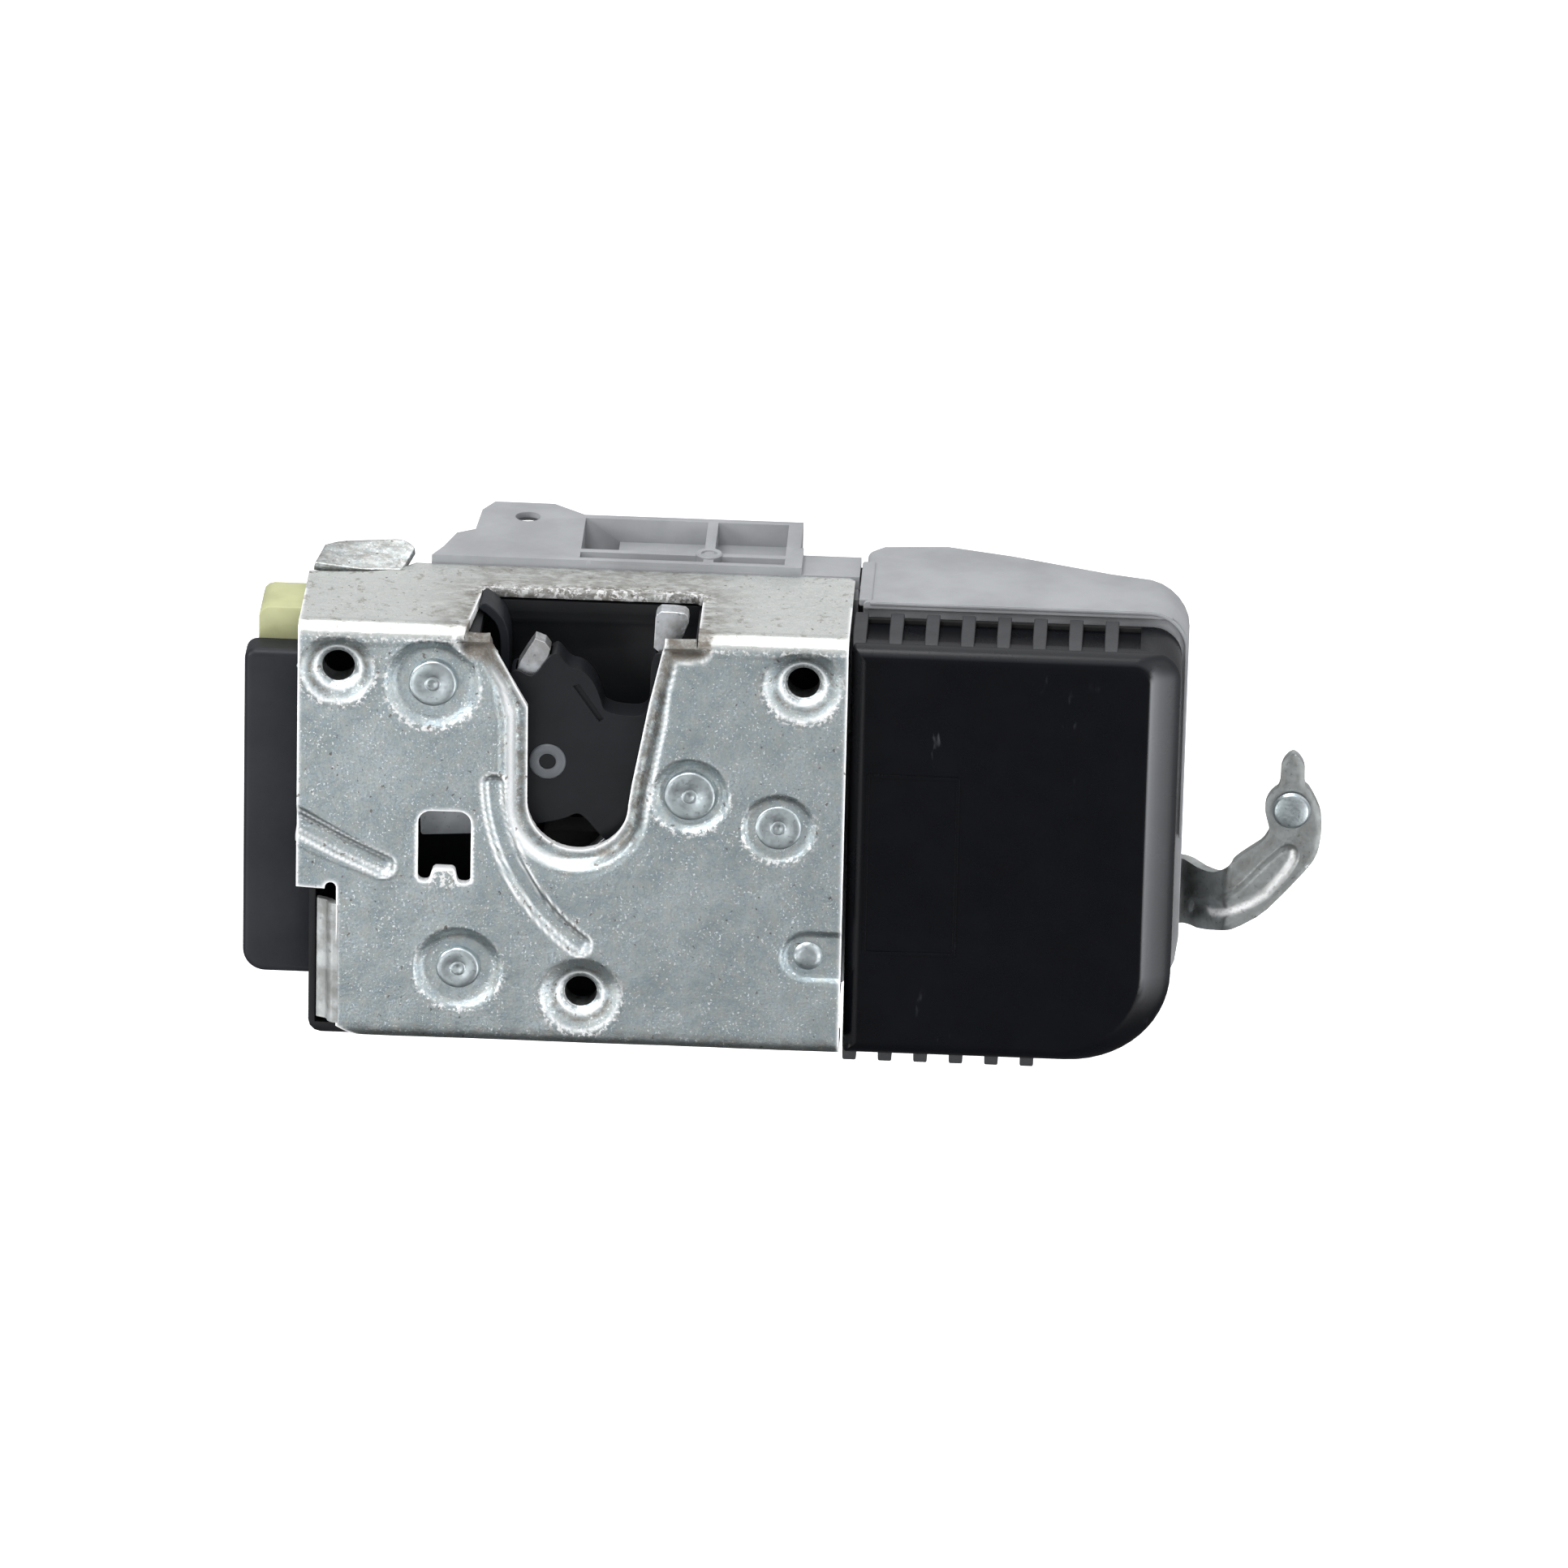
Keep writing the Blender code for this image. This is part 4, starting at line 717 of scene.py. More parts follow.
def plate_marks(x, v, window):
    """How the unfolded sheet is marked at each of its points: soot; grease and painted shade; its cream
    top, painted lighter as lit; wear and painted highlight; burrs with painted glints.
    """
    opening = from_path(x, v, opening_loop(), closed=True)
    window_edge = from_path(x, v, window, closed=True)
    outside = from_path(x, v, whole_outline(), closed=True)
    edge = np.minimum(np.minimum(opening, window_edge), outside)
    share = from_path(x, v, slot_edge()) / rim_reach(x, v)
    beads = [from_path(x, v, path) for path in (LONG_BEAD, LEFT_BEAD)]
    threads = [(np.hypot(x - across, v - up), v - up, outer) for across, up, outer in THREADS]
    rivets = [(np.hypot(x - across, v - up), v - up, *radii) for (across, up), *radii, _ in RIVETS]
    aside = np.abs(x - 0.5)
    behind = v > flat_top(15)
    right_side = np.clip(x / 8, 0, 1)
    left_side = 1 - np.clip((x + 6) / 8, 0, 1)

    corners = step_down(np.abs(np.abs(x - 0.65) - 15.5), 3, 4.2) * step_down(opening, 1.6, 3)
    corners *= step_down(np.abs(v - 46.5), 3, 4.5)
    left_stain = from_path(x, v, [(-17, 43.7), (-14.6, 43.3), (-12.4, 41.4), (-11.2, 39.8)])
    right_stain = from_path(x, v, [(16.5, 44.3), (12.6, 42.8), (11.2, 38.5)])
    stained = np.maximum(step_down(left_stain, 1.1, 2.4), 0.7 * step_down(right_stain, 0.4, 1.8))
    stained *= step_down(v, 44.9, 45.4) * (1 - 0.8 * lip(opening, 0, 0.35))

    # The slot's rim: grease on its lip and right wall, and painted shade lines along its two creases.
    rim = 0.7 * (share < 0.38) + 0.8 * right_side * ((share >= 0.38) & (share < 0.74))
    rim += 0.75 * lip(share, 0.4, 0.05) + 0.55 * lip(share, 0.84, 0.07)
    slit = lip(v - flat_top(22.7) - 0.09 * (x + 43), 0, 0.35) * step_down(np.abs(x + 36.3), 6.7, 7.2)
    # Grease round the opening and on the notch's edges and corners; darker on the flange behind the
    # notch and along the bottom bend; painted shade in the rim's and beads' creases; and a painted
    # shadow in the slit under the ear.
    grime_and_shade = [
        np.where(v > PLATE_TOP - 1, np.exp(-((opening / 4.8) ** 1.5)), rim),
        0.62 * step_down(flat_top(18.5) - v, -0.5, 1.5) * step_down(aside, 15, 24),
        behind * 1.3 * step_down(opening, 0.25, 0.6),
        0.55 * step_down(v + 19.9, 0.2, 1.4),
        1.6 * slit,
        corners,
    ]
    grime_and_shade += [0.5 * lip(bead, 1.5, 0.3) for bead in beads]
    # Painted shade: a dark ring in each thread recess, and each rivet recess darker along its floor's
    # edge, most on its upper side.
    for ring, _, outer in threads:
        grime_and_shade.append(np.maximum(0.35 * lip(ring, outer, 0.6), 0.85 * lip(ring, 4.35, 0.45)))
    for ring, above, floor, _ in rivets:
        grime_and_shade.append(0.5 * lip(ring, floor, 0.8) * (0.3 + 0.7 * np.clip(above / 5, 0, 1)))

    # Edges worn bright, mixed with painted highlight: the cut edges, the window's edge, the slot rim's
    # left wall and right ridge, lines along the beads, and rings in the thread recesses.
    wear_and_highlight = [
        0.9 * lip(edge, 0, 0.32) * np.where(behind, 0.15, 1) * (1 - corners),
        (v > 5) * (v < 14.5) * 0.9 * step_down(window_edge, 0.25, 0.6),
        0.9 * lip(share, 0.58, 0.13) * left_side * step_down(-v, -6, -2) * (1 - stained),
        0.7 * lip(share, 0.97, 0.06) * right_side * step_down(-v, -17, -14),
    ]
    wear_and_highlight += [np.maximum(0.8 * lip(bead, 1.95, 0.2), 0.6 * lip(bead, 1.05, 0.16)) for bead in beads]
    # Burrs with painted glints: along the notch, below the front bend and round the window's lower
    # corner.
    burr_and_glint = [
        behind * lip(opening, 0, 1.5),
        0.9 * lip(v, 44.9, 0.45) * step_down(-aside, -17.5, -15.5),
        step_down(np.abs(x + 21), 2, 2.8) * step_down(np.abs(v - 5.8), 1.3, 2.2),
    ]
    # Painted highlight rings in each thread recess, stronger low down, and painted glints round the
    # thread and rivet recesses.
    for ring, above, outer in threads:
        low = 0.55 + 0.45 * np.clip(-above / 4, -1, 1)
        wear_and_highlight.append(np.maximum(0.65 * lip(ring, 3.45, 0.25), 0.6 * low * lip(ring, outer - 0.5, 0.25)))
        burr_and_glint.append(np.maximum(lip(ring, outer + 0.1, 0.45) * low, 0.8 * lip(ring, 2.8, 0.35)))
    for ring, above, _, outer in rivets:
        burr_and_glint.append(lip(ring, outer + 0.1, 0.4) * (0.6 + 0.4 * np.clip(-above / 4, -1, 1)))
    return {
        "soot": np.maximum(0.8 * corners, stained),
        "grime_and_shade": strongest(*grime_and_shade),
        # The top flange's tint, with painted light on it.
        "cream_and_top_light": step_down(-v, -46, -44.6),
        "wear_and_highlight": strongest(*wear_and_highlight),
        "burr_and_glint": strongest(*burr_and_glint),
    }


def make_plate():
    window = [(-25.1, 4.95, 0.9), (-23.4, 4.95, 0.7), (-22.7, 7.3, 0.7), (-19.4, 7.3, 0.7)]
    window += [(-18.9, 4.8, 0.8), (-16.9, 4.8, 0.9), (-16.9, 16.8, 2), (-25.1, 16.8, 2)]
    window = rounded(window, 5)
    holes = [opening_loop(), window] + [circle(spot[:2], THREAD_RADIUS, 40) for spot in THREADS]
    holes += [circle(place, 2.75, 36) for place, *_ in RIVETS] + [circle(RIVET_PLACE, 1.55, 24)]
    creases = []
    for *place, outer in THREADS:
        creases += [circle(place, radius) for radius in (2.9, 3.5, outer - 0.1, outer + 0.25)]
    for place, floor, outer, _ in RIVETS:
        creases += [circle(place, radius, 60) for radius in (floor, outer, outer + 0.3)]
    flat, faces = sheet_mesh(whole_outline(), holes, creases, 0.45)
    x, v = flat[:, 0], flat[:, 1]
    front = np.clip(v, PLATE_BOTTOM + 1, PLATE_TOP - 1)
    fade = step_down(v, 43.8, 45.4) * step_down(-v, 19, 20.5)
    placed = folded(flat, pressed_depth(x, front) * fade)
    groove = 0.1 * lip(v, 46.9, 0.35)
    wave = 0.05 * np.sin(x * 0.21 + 1.3) * np.cos(front * 0.17)
    wave += 0.02 * np.sin(x * 0.83) * np.sin(front * 0.71)
    placed[:, 1] += np.where(v < 44, wave + 0.07, 0) + groove
    placed[:, 2] += np.where(v > 49, wave - 0.07, 0) - groove
    mesh = plain_mesh((placed * MM).tolist(), faces.tolist())
    for name, share in plate_marks(x, v, window).items():
        paint(mesh, name, share)
    plate = new_object("plate", turned_out(mesh, forward=True))
    thicken(plate, SHEET_THICKNESS)
    stands_for(plate, "latch_plate_sheet", "zinc_steel", "latch_plate")


def plate_between(front, rear, faces):
    """A closed plate from its two faces, with one layout of triangles, and walls round its edges."""
    count = len(front)
    edges = [edge for a, b, c in faces.tolist() for edge in ((a, b), (b, c), (c, a))]
    known = set(edges)
    walls = [(b, a, a + count, b + count) for a, b in edges if (b, a) not in known]
    rears = [(c + count, b + count, a + count) for a, b, c in faces.tolist()]
    points = (np.concatenate([front, rear]) * MM).tolist()
    return turned_out(plain_mesh(points, faces.tolist() + rears + walls))


def thicken(sheet, thickness, even=True):
    """Gives an open sheet its thickness behind its face, and small rounds on its cut edges."""
    thick = sheet.modifiers.new("thickness", "SOLIDIFY")
    thick.thickness = thickness * MM
    thick.offset = -1
    thick.use_even_offset = even
    rounds = sheet.modifiers.new("edges", "BEVEL")
    rounds.width = 0.16 * MM
    rounds.segments = 2
    rounds.limit_method = "ANGLE"
    rounds.angle_limit = radians(50)
    sheet.data.shade_smooth()


def make_collars():
    """The drawn and threaded collars behind the three fixing holes."""
    for number, (*place, _) in enumerate(THREADS, 1):
        profile = [(2.65, 1.9), (3.4, 1.9), (4.3, 2.6), (4.3, 5.9), (4.1, 6.1), (3, 6.1)]
        for level in (5.9, 4.9, 3.9, 2.9):
            profile += [(2.55, level), (2.85, level - 0.5)]
        collar = revolved(place, profile, 40)
        stands_for(collar, f"thread_collar_{number}", "zinc_steel", look="bare_steel")


def make_ear():
    """The lanced tab at the back left of the top flange, bent up from a slit."""
    across, along = 26, 18
    points, faces = [], []
    for row in range(along + 1):
        for column in range(across + 1):
            s = column / across
            round_off = 0.3 * max(0, s - 0.72) ** 2 / 0.078 + 0.16 * max(0, 0.2 - s) ** 2 / 0.04
            t = row / along * (1 - round_off)
            left, right = -43 + 1.2 * t, -29.6 + 2.4 * t
            lift = 1.15 * max(0, 1 - s / 0.62) ** 1.3 * (1 - t) + t ** 1.15 * (1.55 + 1.1 * s)
            depth = 22.9 + 8 * t + 1.2 * (1 - t) * s
            here = len(points)
            points.append((left + (right - left) * s, depth, PLATE_TOP + lift - 0.03))
            if row and column:
                faces.append((here - across - 2, here - across - 1, here, here - 1))
    ear = solid(points, faces)
    if sum(polygon.normal.z for polygon in ear.data.polygons) < 0:
        ear.data.flip_normals()
    # Grease and painted shade over the whole tab, part of the flange's painted top light, and a few
    # painted glints.
    for name, share in (("grime_and_shade", 0.6), ("cream_and_top_light", 0.35), ("wear_and_highlight", 0), ("burr_and_glint", 0.15)):
        paint(ear.data, name, np.full(len(points), share))
    thicken(ear, 1.4, even=False)
    stands_for(ear, "plate_ear", "zinc_steel")


def make_side_flange():
    """The lower left edge: bent back in a small round, then flared out to the left."""
    section = [(-37.1, 0.02), (-37.9, 0.1), (-38.5, 0.4), (-38.9, 0.9), (-39.05, 1.6), (-39.3, 1.85)]
    section += [(-40.75, 2.5), (-40.75, 3.7), (-39, 3), (-38.2, 2.4), (-37.6, 1.6), (-37, 1.55)]
    flange = soften(prism([section], -19.4, 0.6, "Z"), 0.2)
    stands_for(flange, "side_flange", "zinc_steel", look="edge_steel")


def make_rivets():
    """Rivet heads in the plate's recesses, each with a ring struck round its middle."""
    heads = (
        # name, place, radius, front of the head, radius of the neck
        ("release_pin", RELEASE_PIVOT, 3.76, 0.25, 2.6),
        ("pawl_pin", PAWL_PIVOT, 3.4, 0.3, 2.6),
        ("claw_pin", CLAW_PIVOT, 4.05, 0.2, 2.6),
        ("spacer_stud", STUD_PLACE, 3.7, 0.45, 2),
    )
    shank = [(4, 3.1), (4, 17.6), (3, 17.6), (3, 21.7), (3.9, 21.7), (3.8, 22.2), (3.3, 22.6)]
    turned = []
    for name, place, radius, front, neck in heads:
        profile = [(0, front + 0.12), (0.35, front + 0.1), (0.6, front + 0.02), (1, front)]
        profile += [(1.15, front + 0.07), (1.3, front), (radius - 0.9, front)]
        profile += [(radius - 0.45, front + 0.02), (radius - 0.2, front + 0.12)]
        profile += [(radius, front + 0.45), (radius - 0.05, 1.25)]
        profile += [(neck, 1.25), (neck, 3.1), *shank, (0, 22.6)]
        turned.append((name, place, profile, 56))
    profile = [(0, 0.2), (1.2, 0.22), (1.9, 0.35), (2.3, 0.75), (1.3, 0.8), (1.3, 21.7), (2.2, 21.7)]
    turned.append(("case_rivet", RIVET_PLACE, profile + [(1.9, 22.5), (0, 22.5)], 36))
    for name, place, profile, sides in turned:
        pin = revolved(place, profile, sides, sharp=40)
        stands_for(pin, name + "_turned", "bare_steel", name, look="rivet_steel")


# Claw


def smooth_loop(points, rounds=2):
    """A closed loop with its corners cut, in rounds, which leaves it smooth."""
    loop = list(points)
    for _ in range(rounds):
        result = []
        for here, after in zip(loop, loop[1:] + loop[:1]):
            result.append((here[0] * 0.8 + after[0] * 0.2, here[1] * 0.8 + after[1] * 0.2))
            result.append((here[0] * 0.2 + after[0] * 0.8, here[1] * 0.2 + after[1] * 0.8))
        loop = result
    return loop


def claw_jacket_outline():
    outline = [(-4.4, 41.4), (-5.7, 40.6), (-8.1, 36.9), (-10.6, 38.3)]
    outline += [polar(CLAW_PIVOT, *spoke) for spoke in ((33, 149), (29.8, 161), (27.4, 173))]
    outline += arc(CLAW_PIVOT, 26, 184, 198, 2)
    outline += [(-3, 13.8), (-0.8, 15), (0.8, 13.6), (2.5, 11.5), (3.8, 10.2), (6, 12.6)]
    outline += arc(CLAW_PIVOT, 9.5, 232, 400, 16)
    outline += [(21, 33), (16.8, 38.5), (12.9, 42), (10, 41.6), (9.9, 32.6), (8.5, 31.2)]
    outline += [(4.6, 31.4), (2.8, 32.2), (2.3, 34), (1.3, 36.6), (-0.4, 38.5), (-2.6, 39)]
    return smooth_loop(outline)


def claw_core_outline():
    outline = [(-5.5, 41.4), (-6.3, 42.5), (-7.9, 43.1), (-9.1, 41.2), (-10.4, 38.9), (-10.7, 37)]
    outline += [polar(CLAW_PIVOT, *spoke) for spoke in ((30.6, 152), (27.6, 163), (25.4, 175))]
    outline += arc(CLAW_PIVOT, 24.4, 184, 196, 2)
    outline += [(-2.6, 15.4), (0, 16.8), (2.6, 14.6), (4.2, 11.4)]
    outline += arc(CLAW_PIVOT, 22.2, 219.5, 250, 6) + [(14.2, 11.8)] + arc(CLAW_PIVOT, 8, 260, 398, 12)
    outline += [(19.6, 32.2), (15.5, 37.4), (13.5, 41.4), (14, 42.8), (14.9, 44.5), (15.6, 46.6)]
    outline += [(15.5, 47.6), (15, 48.1), (13.4, 48.3), (11.3, 48.3), (10.7, 47.8), (10.5, 47.2)]
    outline += [(10.3, 42.3), (11.3, 41.4), (11.4, 31.6), (9.4, 29.8), (4.2, 30), (1.4, 31.4)]
    return outline + [(0.9, 33.8), (-0.4, 36), (-3.4, 37.4), (-5.9, 39.6)]


def make_claw():
    core = claw_core_outline()
    jacket = prism([claw_jacket_outline(), circle(CLAW_PIVOT, 4.3)], 6, 11.2)
    slit = prism([[(-1.9, 35.9), (-1, 36.3), (2.9, 30.6), (2.2, 30.1)]], 5, 6.5)
    jacket = cut(jacket, slit, prism([moved_out(core, 0.3)], 6.7, 10.5))
    stands_for(soften(jacket, 0.28), "claw_jacket_fine", "jacket_plastic", "claw_jacket", body="claw")
    profile = [(1.3, 6.3), (1.3, 5.85), (1.5, 5.7), (2.6, 5.68), (2.85, 5.85), (2.9, 6.3)]
    boss = revolved(CLAW_BOSS, profile, 36, sharp=50)
    stands_for(boss, "claw_boss", "jacket_plastic", body="claw", look="boss_plastic")
    tips = soften(prism([core, circle(CLAW_PIVOT, 4.3)], 7, 10.2), 0.55, 4)
    stands_for(tips, "claw_core_fine", "bare_steel", "claw_core", body="claw", look="claw_steel")


# Covers and housings


def cover_outline(inset=0, right_inset=None):
    right = 91.2 - (inset if right_inset is None else right_inset)
    left, low, high = 40.8 + inset, -23 + inset, 45.2 - inset
    small = max(0.2, 0.8 - inset)
    corners = [(left, low, small), (right, low, 15 - inset), (right, high, 4.5 - inset)]
    return rounded(corners + [(left, high, small)], 14)


def rib_shape(middle, near, far):
    """One rib on the cover's edge, with its front end rounded down onto the cover."""
    front, back, reach = 4.4, 15.6, far - near
    side = [(back, near), (back, far), (front + 3, far)]
    for turn in (0.4, 0.8, 1.2, 1.57):
        side.append((front + 3 * (1 - sin(turn)), near + reach * cos(turn)))
    return prism([side], middle - RIB_WIDTH / 2, middle + RIB_WIDTH / 2, "X")


def make_actuator_cover():
    front, back, edge = 3, 15.6, 2.4
    right_side = [(5, 0), (4.75, 0.02), (4.4, 0.11), (3.8, 0.32), (3, 0.64), (2.2, 0.98)]
    right_side += [(1.5, 1.3), (0.9, 1.62), (0.45, 1.9), (0.15, 2.18), (0, 2.4)]
    layers = []
    for right_inset, depth in right_side:
        inset = edge - sqrt(edge ** 2 - (edge - depth) ** 2)
        layers.append((cover_outline(inset, right_inset), front + depth))
    layers.append((cover_outline(), back))
    inner = cover_outline(1.8)
    cavity = [(cover_outline(3.2, 5.4), front + 1.8), (inner, front + 4), (inner, back + 2)]
    cover = cut(loft(layers), loft(cavity))
    tops, feet = 8, 6
    room = (RIB_PITCH - RIB_WIDTH) / 2
    gaps = []
    for number in range(tops):
        middle = FIRST_RIB + (number + 0.5) * RIB_PITCH
        gaps.append(box(middle - room, middle + room, front + 3.6, back + 1, 44.3, 46))
        if number < feet:
            gaps.append(box(middle - room, middle + room, front + 3.6, back + 1, -24, -22.1))
    cover = cut(cover, *gaps)
    ribs = [rib_shape(FIRST_RIB + number * RIB_PITCH, 43.8, 46.1) for number in range(tops)]
    ribs += [rib_shape(FIRST_RIB + number * RIB_PITCH, -22, -25.2) for number in range(feet)]
    thin_frame = [rectangle(43.6, 57.9, -5.6, 24.3), rectangle(44.05, 57.45, -5.15, 23.85)]
    cover = joined(cover, prism(thin_frame, front - 0.18, front + 0.6))
    # The ribs take the lighter black plastic, painted as lit.
    for number, rib in enumerate(ribs, 1):
        rib = soften(rib, 0.22, 2, 40)
        stands_for(rib, f"cover_rib_{number}", "black_plastic", look="lit_rib_plastic")
    # Painted highlight: a bright line down the cover's right fillet, fading to the right, and a faint
    # band along its top fillet.
    x, y, z = (np.array([tuple(vert.co) for vert in cover.data.vertices]) / MM).T
    painted_glint = np.interp(x, (86.5, 86.8, 87.6, 88.6, 89.8, 91.2), (0, 1, 0.62, 0.42, 0.28, 0.1))
    painted_glint *= step_down(-z, 4, 14) * step_down(z, 41, 44.3) * (y < 6)
    upper = 0.09 * (z > 43) * (y > front + 0.3) * (y < 6)
    paint(cover.data, "painted_sheen", np.maximum(painted_glint, upper))
    stands_for(soften(cover, 0.22, 2, 40), "actuator_cover_fine", "black_plastic", "actuator_cover")


def make_strips():
    """The case's curved inner wall beside the claw's tip, and the raised line round the hood's front."""
    case = [(-16.6, 46.6), (-15, 45.5), (-13.6, 44), (-12.9, 42), (-12.7, 39), (-12.7, 32)]
    case = soften(prism([smooth_loop(ribbon(case, 0.7))], 11.4, 17.8), 0.2, 2)
    stands_for(case, "case_wall", "case_plastic", look="side_plastic")
    hood = [(43, 47.1), (85.6, 47.1), *arc((86, 41.2), 5.9, 86, 8, 10), (91.9, 36), (91.9, 10)]
    hood = soften(prism([ribbon(hood, 0.22)], 16.35, 17), 0.12, 2)
    stands_for(hood, "hood_lip", "grey_plastic")


def make_housing_details():
    """A boss on the pocket's rib, webs between the two grey housings, and the socket's floor."""
    profile = [(0, 47.9), (1.1, 47.9), (1.25, 48.45), (1.9, 48.55), (2.1, 48.35), (2.1, 47), (0, 47)]
    stands_for(revolved(POCKET_BOSS, profile, 32, "Z", sharp=40), "pocket_boss", "grey_plastic")
    web = soften(box(41, 42.6, 24.5, 34, 20, 46.2), 0.2, 2, 40)
    socket = soften(box(11, 33, 37.9, 39.2, -15, 0), 0.1, 2, 40)
    bridge = soften(box(41.3, 43.4, 17.2, 33, 46.3, 47.6), 0.3, 3, 40)
    stands_for(web, "housing_web", "grey_plastic", look="side_plastic")
    stands_for(socket, "socket_floor", "black_plastic", look="case_plastic")
    stands_for(bridge, "housing_bridge", "grey_plastic")


def make_side_cover():
    left, right, low, high, front, edge = -52.5, -41.6, -13.8, 40, 6, 1.1
    layers = []
    for step in range(6):
        angle = pi / 2 * step / 5
        inset = edge * (1 - sin(angle))
        corners = [(left + inset, low + inset, 3.5 - inset), (right, low + inset, 0.3)]
        corners += [(right, high - inset, 0.3), (left + inset, high - inset, 1.8 - inset)]
        layers.append((rounded(corners, 8), front + edge * (1 - cos(angle))))
    layers.append((layers[-1][0], 11))
    cover = cut(loft(layers), box(left + 1.6, right + 5, front + 1.8, 12, low + 1.6, high - 1.6))
    cover = joined(
        cover,
        box(left, left + 1.5, 10, 24, low + 2.4, 27),
        box(left + 3, right, 10, 24, low, low + 1.5),
        box(left + 3, right, 6.8, 24, 8, 9.5),
        box(left + 0.4, left + 4.6, 22.5, 24, low + 0.5, 26),
    )
    cover = soften(cover, 0.25, 2, 40)
    stands_for(cover, "side_cover_fine", "black_plastic", "side_cover", look="side_plastic")


# Lock lever


def lock_lever_side():
    lower = arc(LOCK_PIVOT, 7.5, 80, 300, 24)
    bend = [(94.5, -9.1), (96.4, -8.1), (98, -7.2), (101, -6.4), (105.1, -3.8), (108.7, 0.3)]
    bend += [(112.4, 4.9), (113.4, 7.2), (113.8, 10.7), (113.5, 13.6), (112.5, 15.9), (111.5, 17.6)]
    nose = [(110.95, 18), (110.85, 18.6), (110.8, 20.9), (110.4, 22), (109.7, 22.9), (108.95, 23.35)]
    nose += [(108.2, 22.9), (107.5, 22), (107.15, 20.9), (107.1, 18.6), (107, 18)]
    inner = arc(ROD_PIN, 4.1, 122, 198, 8)
    inner += [(105.8, 10.2), (104.8, 8.4), (103.2, 7.2), (101.1, 5.6), (99.6, 4), (98, 2.7)]
    inner += [(97.2, 2.1), (96.2, 1.6), (94.3, 1.05), (91.4, 1.8)]
    return smooth_loop(lower + bend + nose + inner, 1)


def lock_lever_channel():
    """The stamped channel along the lever's arm, open to the joggle and rounded at its far end."""
    loop = [(93.6, -8), (95, -7.2), (97.6, -5.3), (101.3, -3.7), (103.6, -2.6), (105.6, -1.1)]
    loop += [(108.7, 2.6), (110.2, 5.2), (110.4, 6.6), (109.8, 7.7), (108.7, 8.1), (107.5, 7.6)]
    loop += [(106.4, 6.5), (104.8, 5), (103.1, 3), (101.2, 0.8), (99.5, -0.6), (97.9, -1.6)]
    return smooth_loop(loop + [(95, -3.8), (93.6, -4.4)])


def joggle(x):
    """How far the lever's sheet is set back towards its shaft, at that place along it."""
    start, run, depth = 100.4, 8.2, 8.4
    share = np.clip((start - x) / run, 0, 1) ** 1.2
    return depth * share * share * (3 - 2 * share)


def make_lock_lever():
    face, thickness, small = 20.02, 1.8, 0.05
    channel = lock_lever_channel()
    side = resampled(lock_lever_side(), 0.5)
    creases = [moved_out(channel, offset) for offset in (0.3, 0, -0.9, -1.2)]
    holes = [circle(LOCK_PIVOT, 3.3, 40), circle(ROD_PIN, 2.2, 32)]
    flat, faces = sheet_mesh(side, holes, creases, 0.42)
    x, z = flat[:, 0], flat[:, 1]
    reach = from_path(x, z, channel, closed=True)
    reach = np.where(inside(flat, channel), -reach, reach)
    sunk = 0.95 * wall(reach, -1.05, 0.1, 0.25) + 0.07 * lip(reach, 0.55, 0.4)
    worn_edge = 0.12 * lip(from_path(x, z, side, closed=True), 0, 0.45)
    slope = (joggle(x + small) - joggle(x - small)) / (2 * small)
    lean = np.hypot(slope, 1)
    level = face + sunk + joggle(x)
    front = np.stack([x, level + worn_edge, z], axis=1)
    rear = np.stack([x - thickness * slope / lean, level + thickness / lean, z], axis=1)
    mesh = plate_between(front, rear, faces)
    # A painted highlight along the channel's lower wall.
    painted_glint = [(97, -4.9), (101, -3.3), (103.3, -2.2), (105.3, -0.7), (108.2, 3), (109.5, 5.3)]
    bright = 0.95 * lip(from_path(x, z, painted_glint + [(109.5, 6.6)]), 0, 0.5)
    paint(mesh, "wear_and_highlight", np.concatenate([bright, np.zeros(len(x))]))
    lever = soften(new_object("lever", mesh), 0.16, 2, 50, flat=False)
    stands_for(lever, "lock_lever_sheet", "lever_steel", "lock_lever", body="lock_lever")
    profile = [(0, 18.95), (0.5, 18.9), (2.3, 18.92), (2.6, 19.05), (2.7, 19.25), (2.8, 19.3)]
    profile += [(2.95, 19.45), (2.95, 19.72), (2.2, 19.74), (2.2, 22.3), (3.1, 22.3), (3.1, 23.2)]
    profile += [(2.3, 23.3), (2.3, 26), (1.8, 26.5), (0, 26.5)]
    pin = revolved(ROD_PIN, profile, 48, sharp=40)
    stands_for(pin, "rod_pin_turned", "bare_steel", "rod_pin", body="lock_lever", look="rivet_steel")


# Studio: floor, light and camera


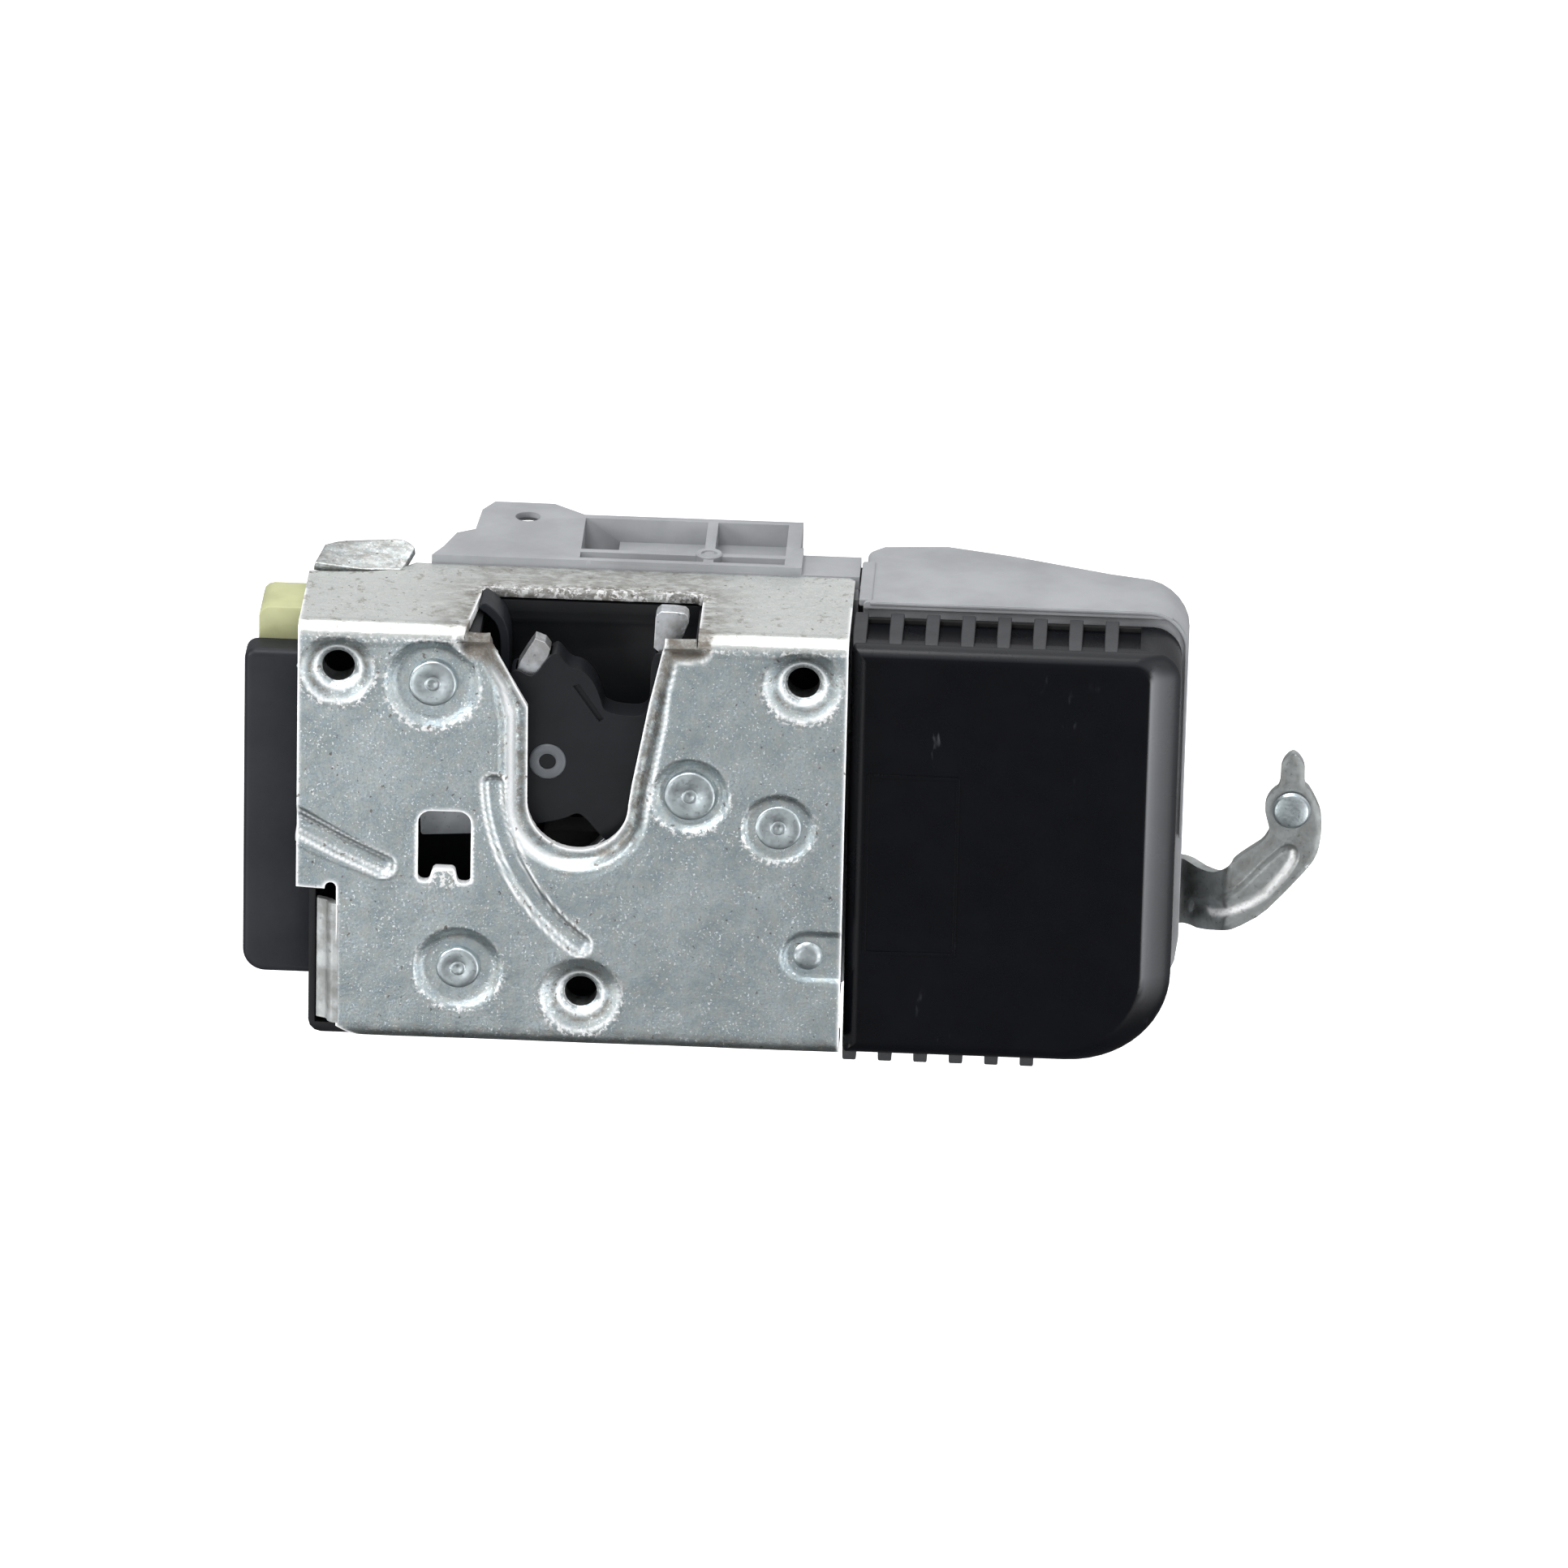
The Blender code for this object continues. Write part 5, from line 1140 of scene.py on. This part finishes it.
def make_sky():
    """White to the camera, and to everything else a soft grey that brightens to the upper right."""
    world = bpy.data.worlds.new("studio")
    bpy.context.scene.world = world
    world.use_nodes = True
    sky = Nodes(world.node_tree)
    place = sky.node("ShaderNodeTexCoord").outputs["Generated"]
    split = sky.node("ShaderNodeSeparateXYZ")
    sky.feed(split.inputs["Vector"], place)
    ramp = sky.node("ShaderNodeValToRGB")
    sky.feed(ramp.inputs["Fac"], sky.spread(split.outputs["Z"], -1, 1, curve="LINEAR"))
    stops = ((0, 0.22), (0.22, 0.34), (0.33, 0.42), (0.5, 0.52), (0.7, 0.58), (1, 0.62))
    for position, _ in stops[1:-1]:
        ramp.color_ramp.elements.new(position)
    for element, (_, value) in zip(ramp.color_ramp.elements, stops):
        element.color = (value, value, value * 1.01, 1)
    slant = sky.node("ShaderNodeVectorMath", operation="DOT_PRODUCT")
    slant.inputs[1].default_value = (0.8, 0, 0.6)
    sky.feed(slant.inputs[0], place)
    shaded = sky.node("ShaderNodeVectorMath", operation="SCALE")
    sky.feed(shaded.inputs[0], ramp.outputs["Color"])
    sky.feed(shaded.inputs["Scale"], sky.spread(slant.outputs["Value"], -1, 1, 0.35, 1.5, "LINEAR"))
    seen = sky.node("ShaderNodeLightPath").outputs["Is Camera Ray"]
    colour = sky.mixed(seen, shaded.outputs["Vector"], (1, 1, 1))
    sky.feed(sky.tree.nodes["Background"].inputs["Color"], colour)


def make_floor():
    bpy.ops.mesh.primitive_plane_add(size=12, location=(0, 0, -0.42))
    floor = bpy.context.object
    floor.name = "floor"
    surface = Surface("floor_white")
    surface.colour = (0.93, 0.93, 0.93)
    floor.data.materials.append(surface.finish(0.9))
    surface.shader["Emission Color"].default_value = (1, 1, 1, 1)
    surface.shader["Emission Strength"].default_value = 0.55
    floor.visible_glossy = False


LAMPS = (
    # name, place in metres, size in metres, power in watts
    ("key", (-0.2, -0.45, 1), 0.5, 8.5),
    ("fill", (0.9, -0.9, 0.5), 0.7, 2.5),
    ("overhead", (0.05, 0.4, 1.3), 1.2, 7.5),
    ("upper_left", (-0.7, -0.37, 0.37), 0.35, 4),
    ("low_left", (-0.22, -0.45, -0.12), 0.25, 0.5),
    ("left_edge", (-0.72, -0.4, -0.33), 0.15, 1.2),
    ("low_right", (0.6, -0.58, -0.32), 0.5, 2.7),
)


def make_lamps():
    for name, place, size, power in LAMPS:
        data = bpy.data.lights.new(name, "AREA")
        data.size = size
        data.energy = power
        lamp = new_object(name, data)
        lamp.location = place
        lamp.visible_camera = False
        aim = Vector((0.03, 0.02, 0.01)) - Vector(place)
        lamp.rotation_euler = aim.to_track_quat("-Z", "Y").to_euler()


def make_camera():
    azimuth, elevation, roll = radians(2), radians(22.5), radians(1.35)
    lens, sensor, view_width = 300, 36, 0.2415
    level = Vector((cos(azimuth), sin(azimuth), 0))
    away = Vector((sin(azimuth), -cos(azimuth), 0)) * cos(elevation)
    back = away + Vector((0, 0, sin(elevation)))
    upright = back.cross(level)
    right = level * cos(roll) + upright * sin(roll)
    up = upright * cos(roll) - level * sin(roll)
    data = bpy.data.cameras.new("camera")
    data.lens = lens
    data.sensor_width = sensor
    data.clip_end = 50
    camera = new_object("camera", data)
    place = (right * 31.5 + up * 20.5) * MM + back * (view_width * lens / sensor)
    camera.matrix_world = Matrix.Translation(place) @ Matrix((right, up, back)).transposed().to_4x4()
    bpy.context.scene.camera = camera
    bpy.context.scene.view_settings.view_transform = "Standard"


make_camera()
make_floor()
make_sky()
make_lamps()
for part in frame["record"]["subparts"]:
    # The release lever gets the near-white steel, painted light on a part in shade.
    look = "lit_foot_steel" if part["node"] == "release_lever" else part["material_slot"]
    dress_node(part["node"], look)
make_plate()
make_collars()
make_ear()
make_side_flange()
make_rivets()
make_claw()
make_actuator_cover()
make_side_cover()
make_strips()
make_housing_details()
make_lock_lever()
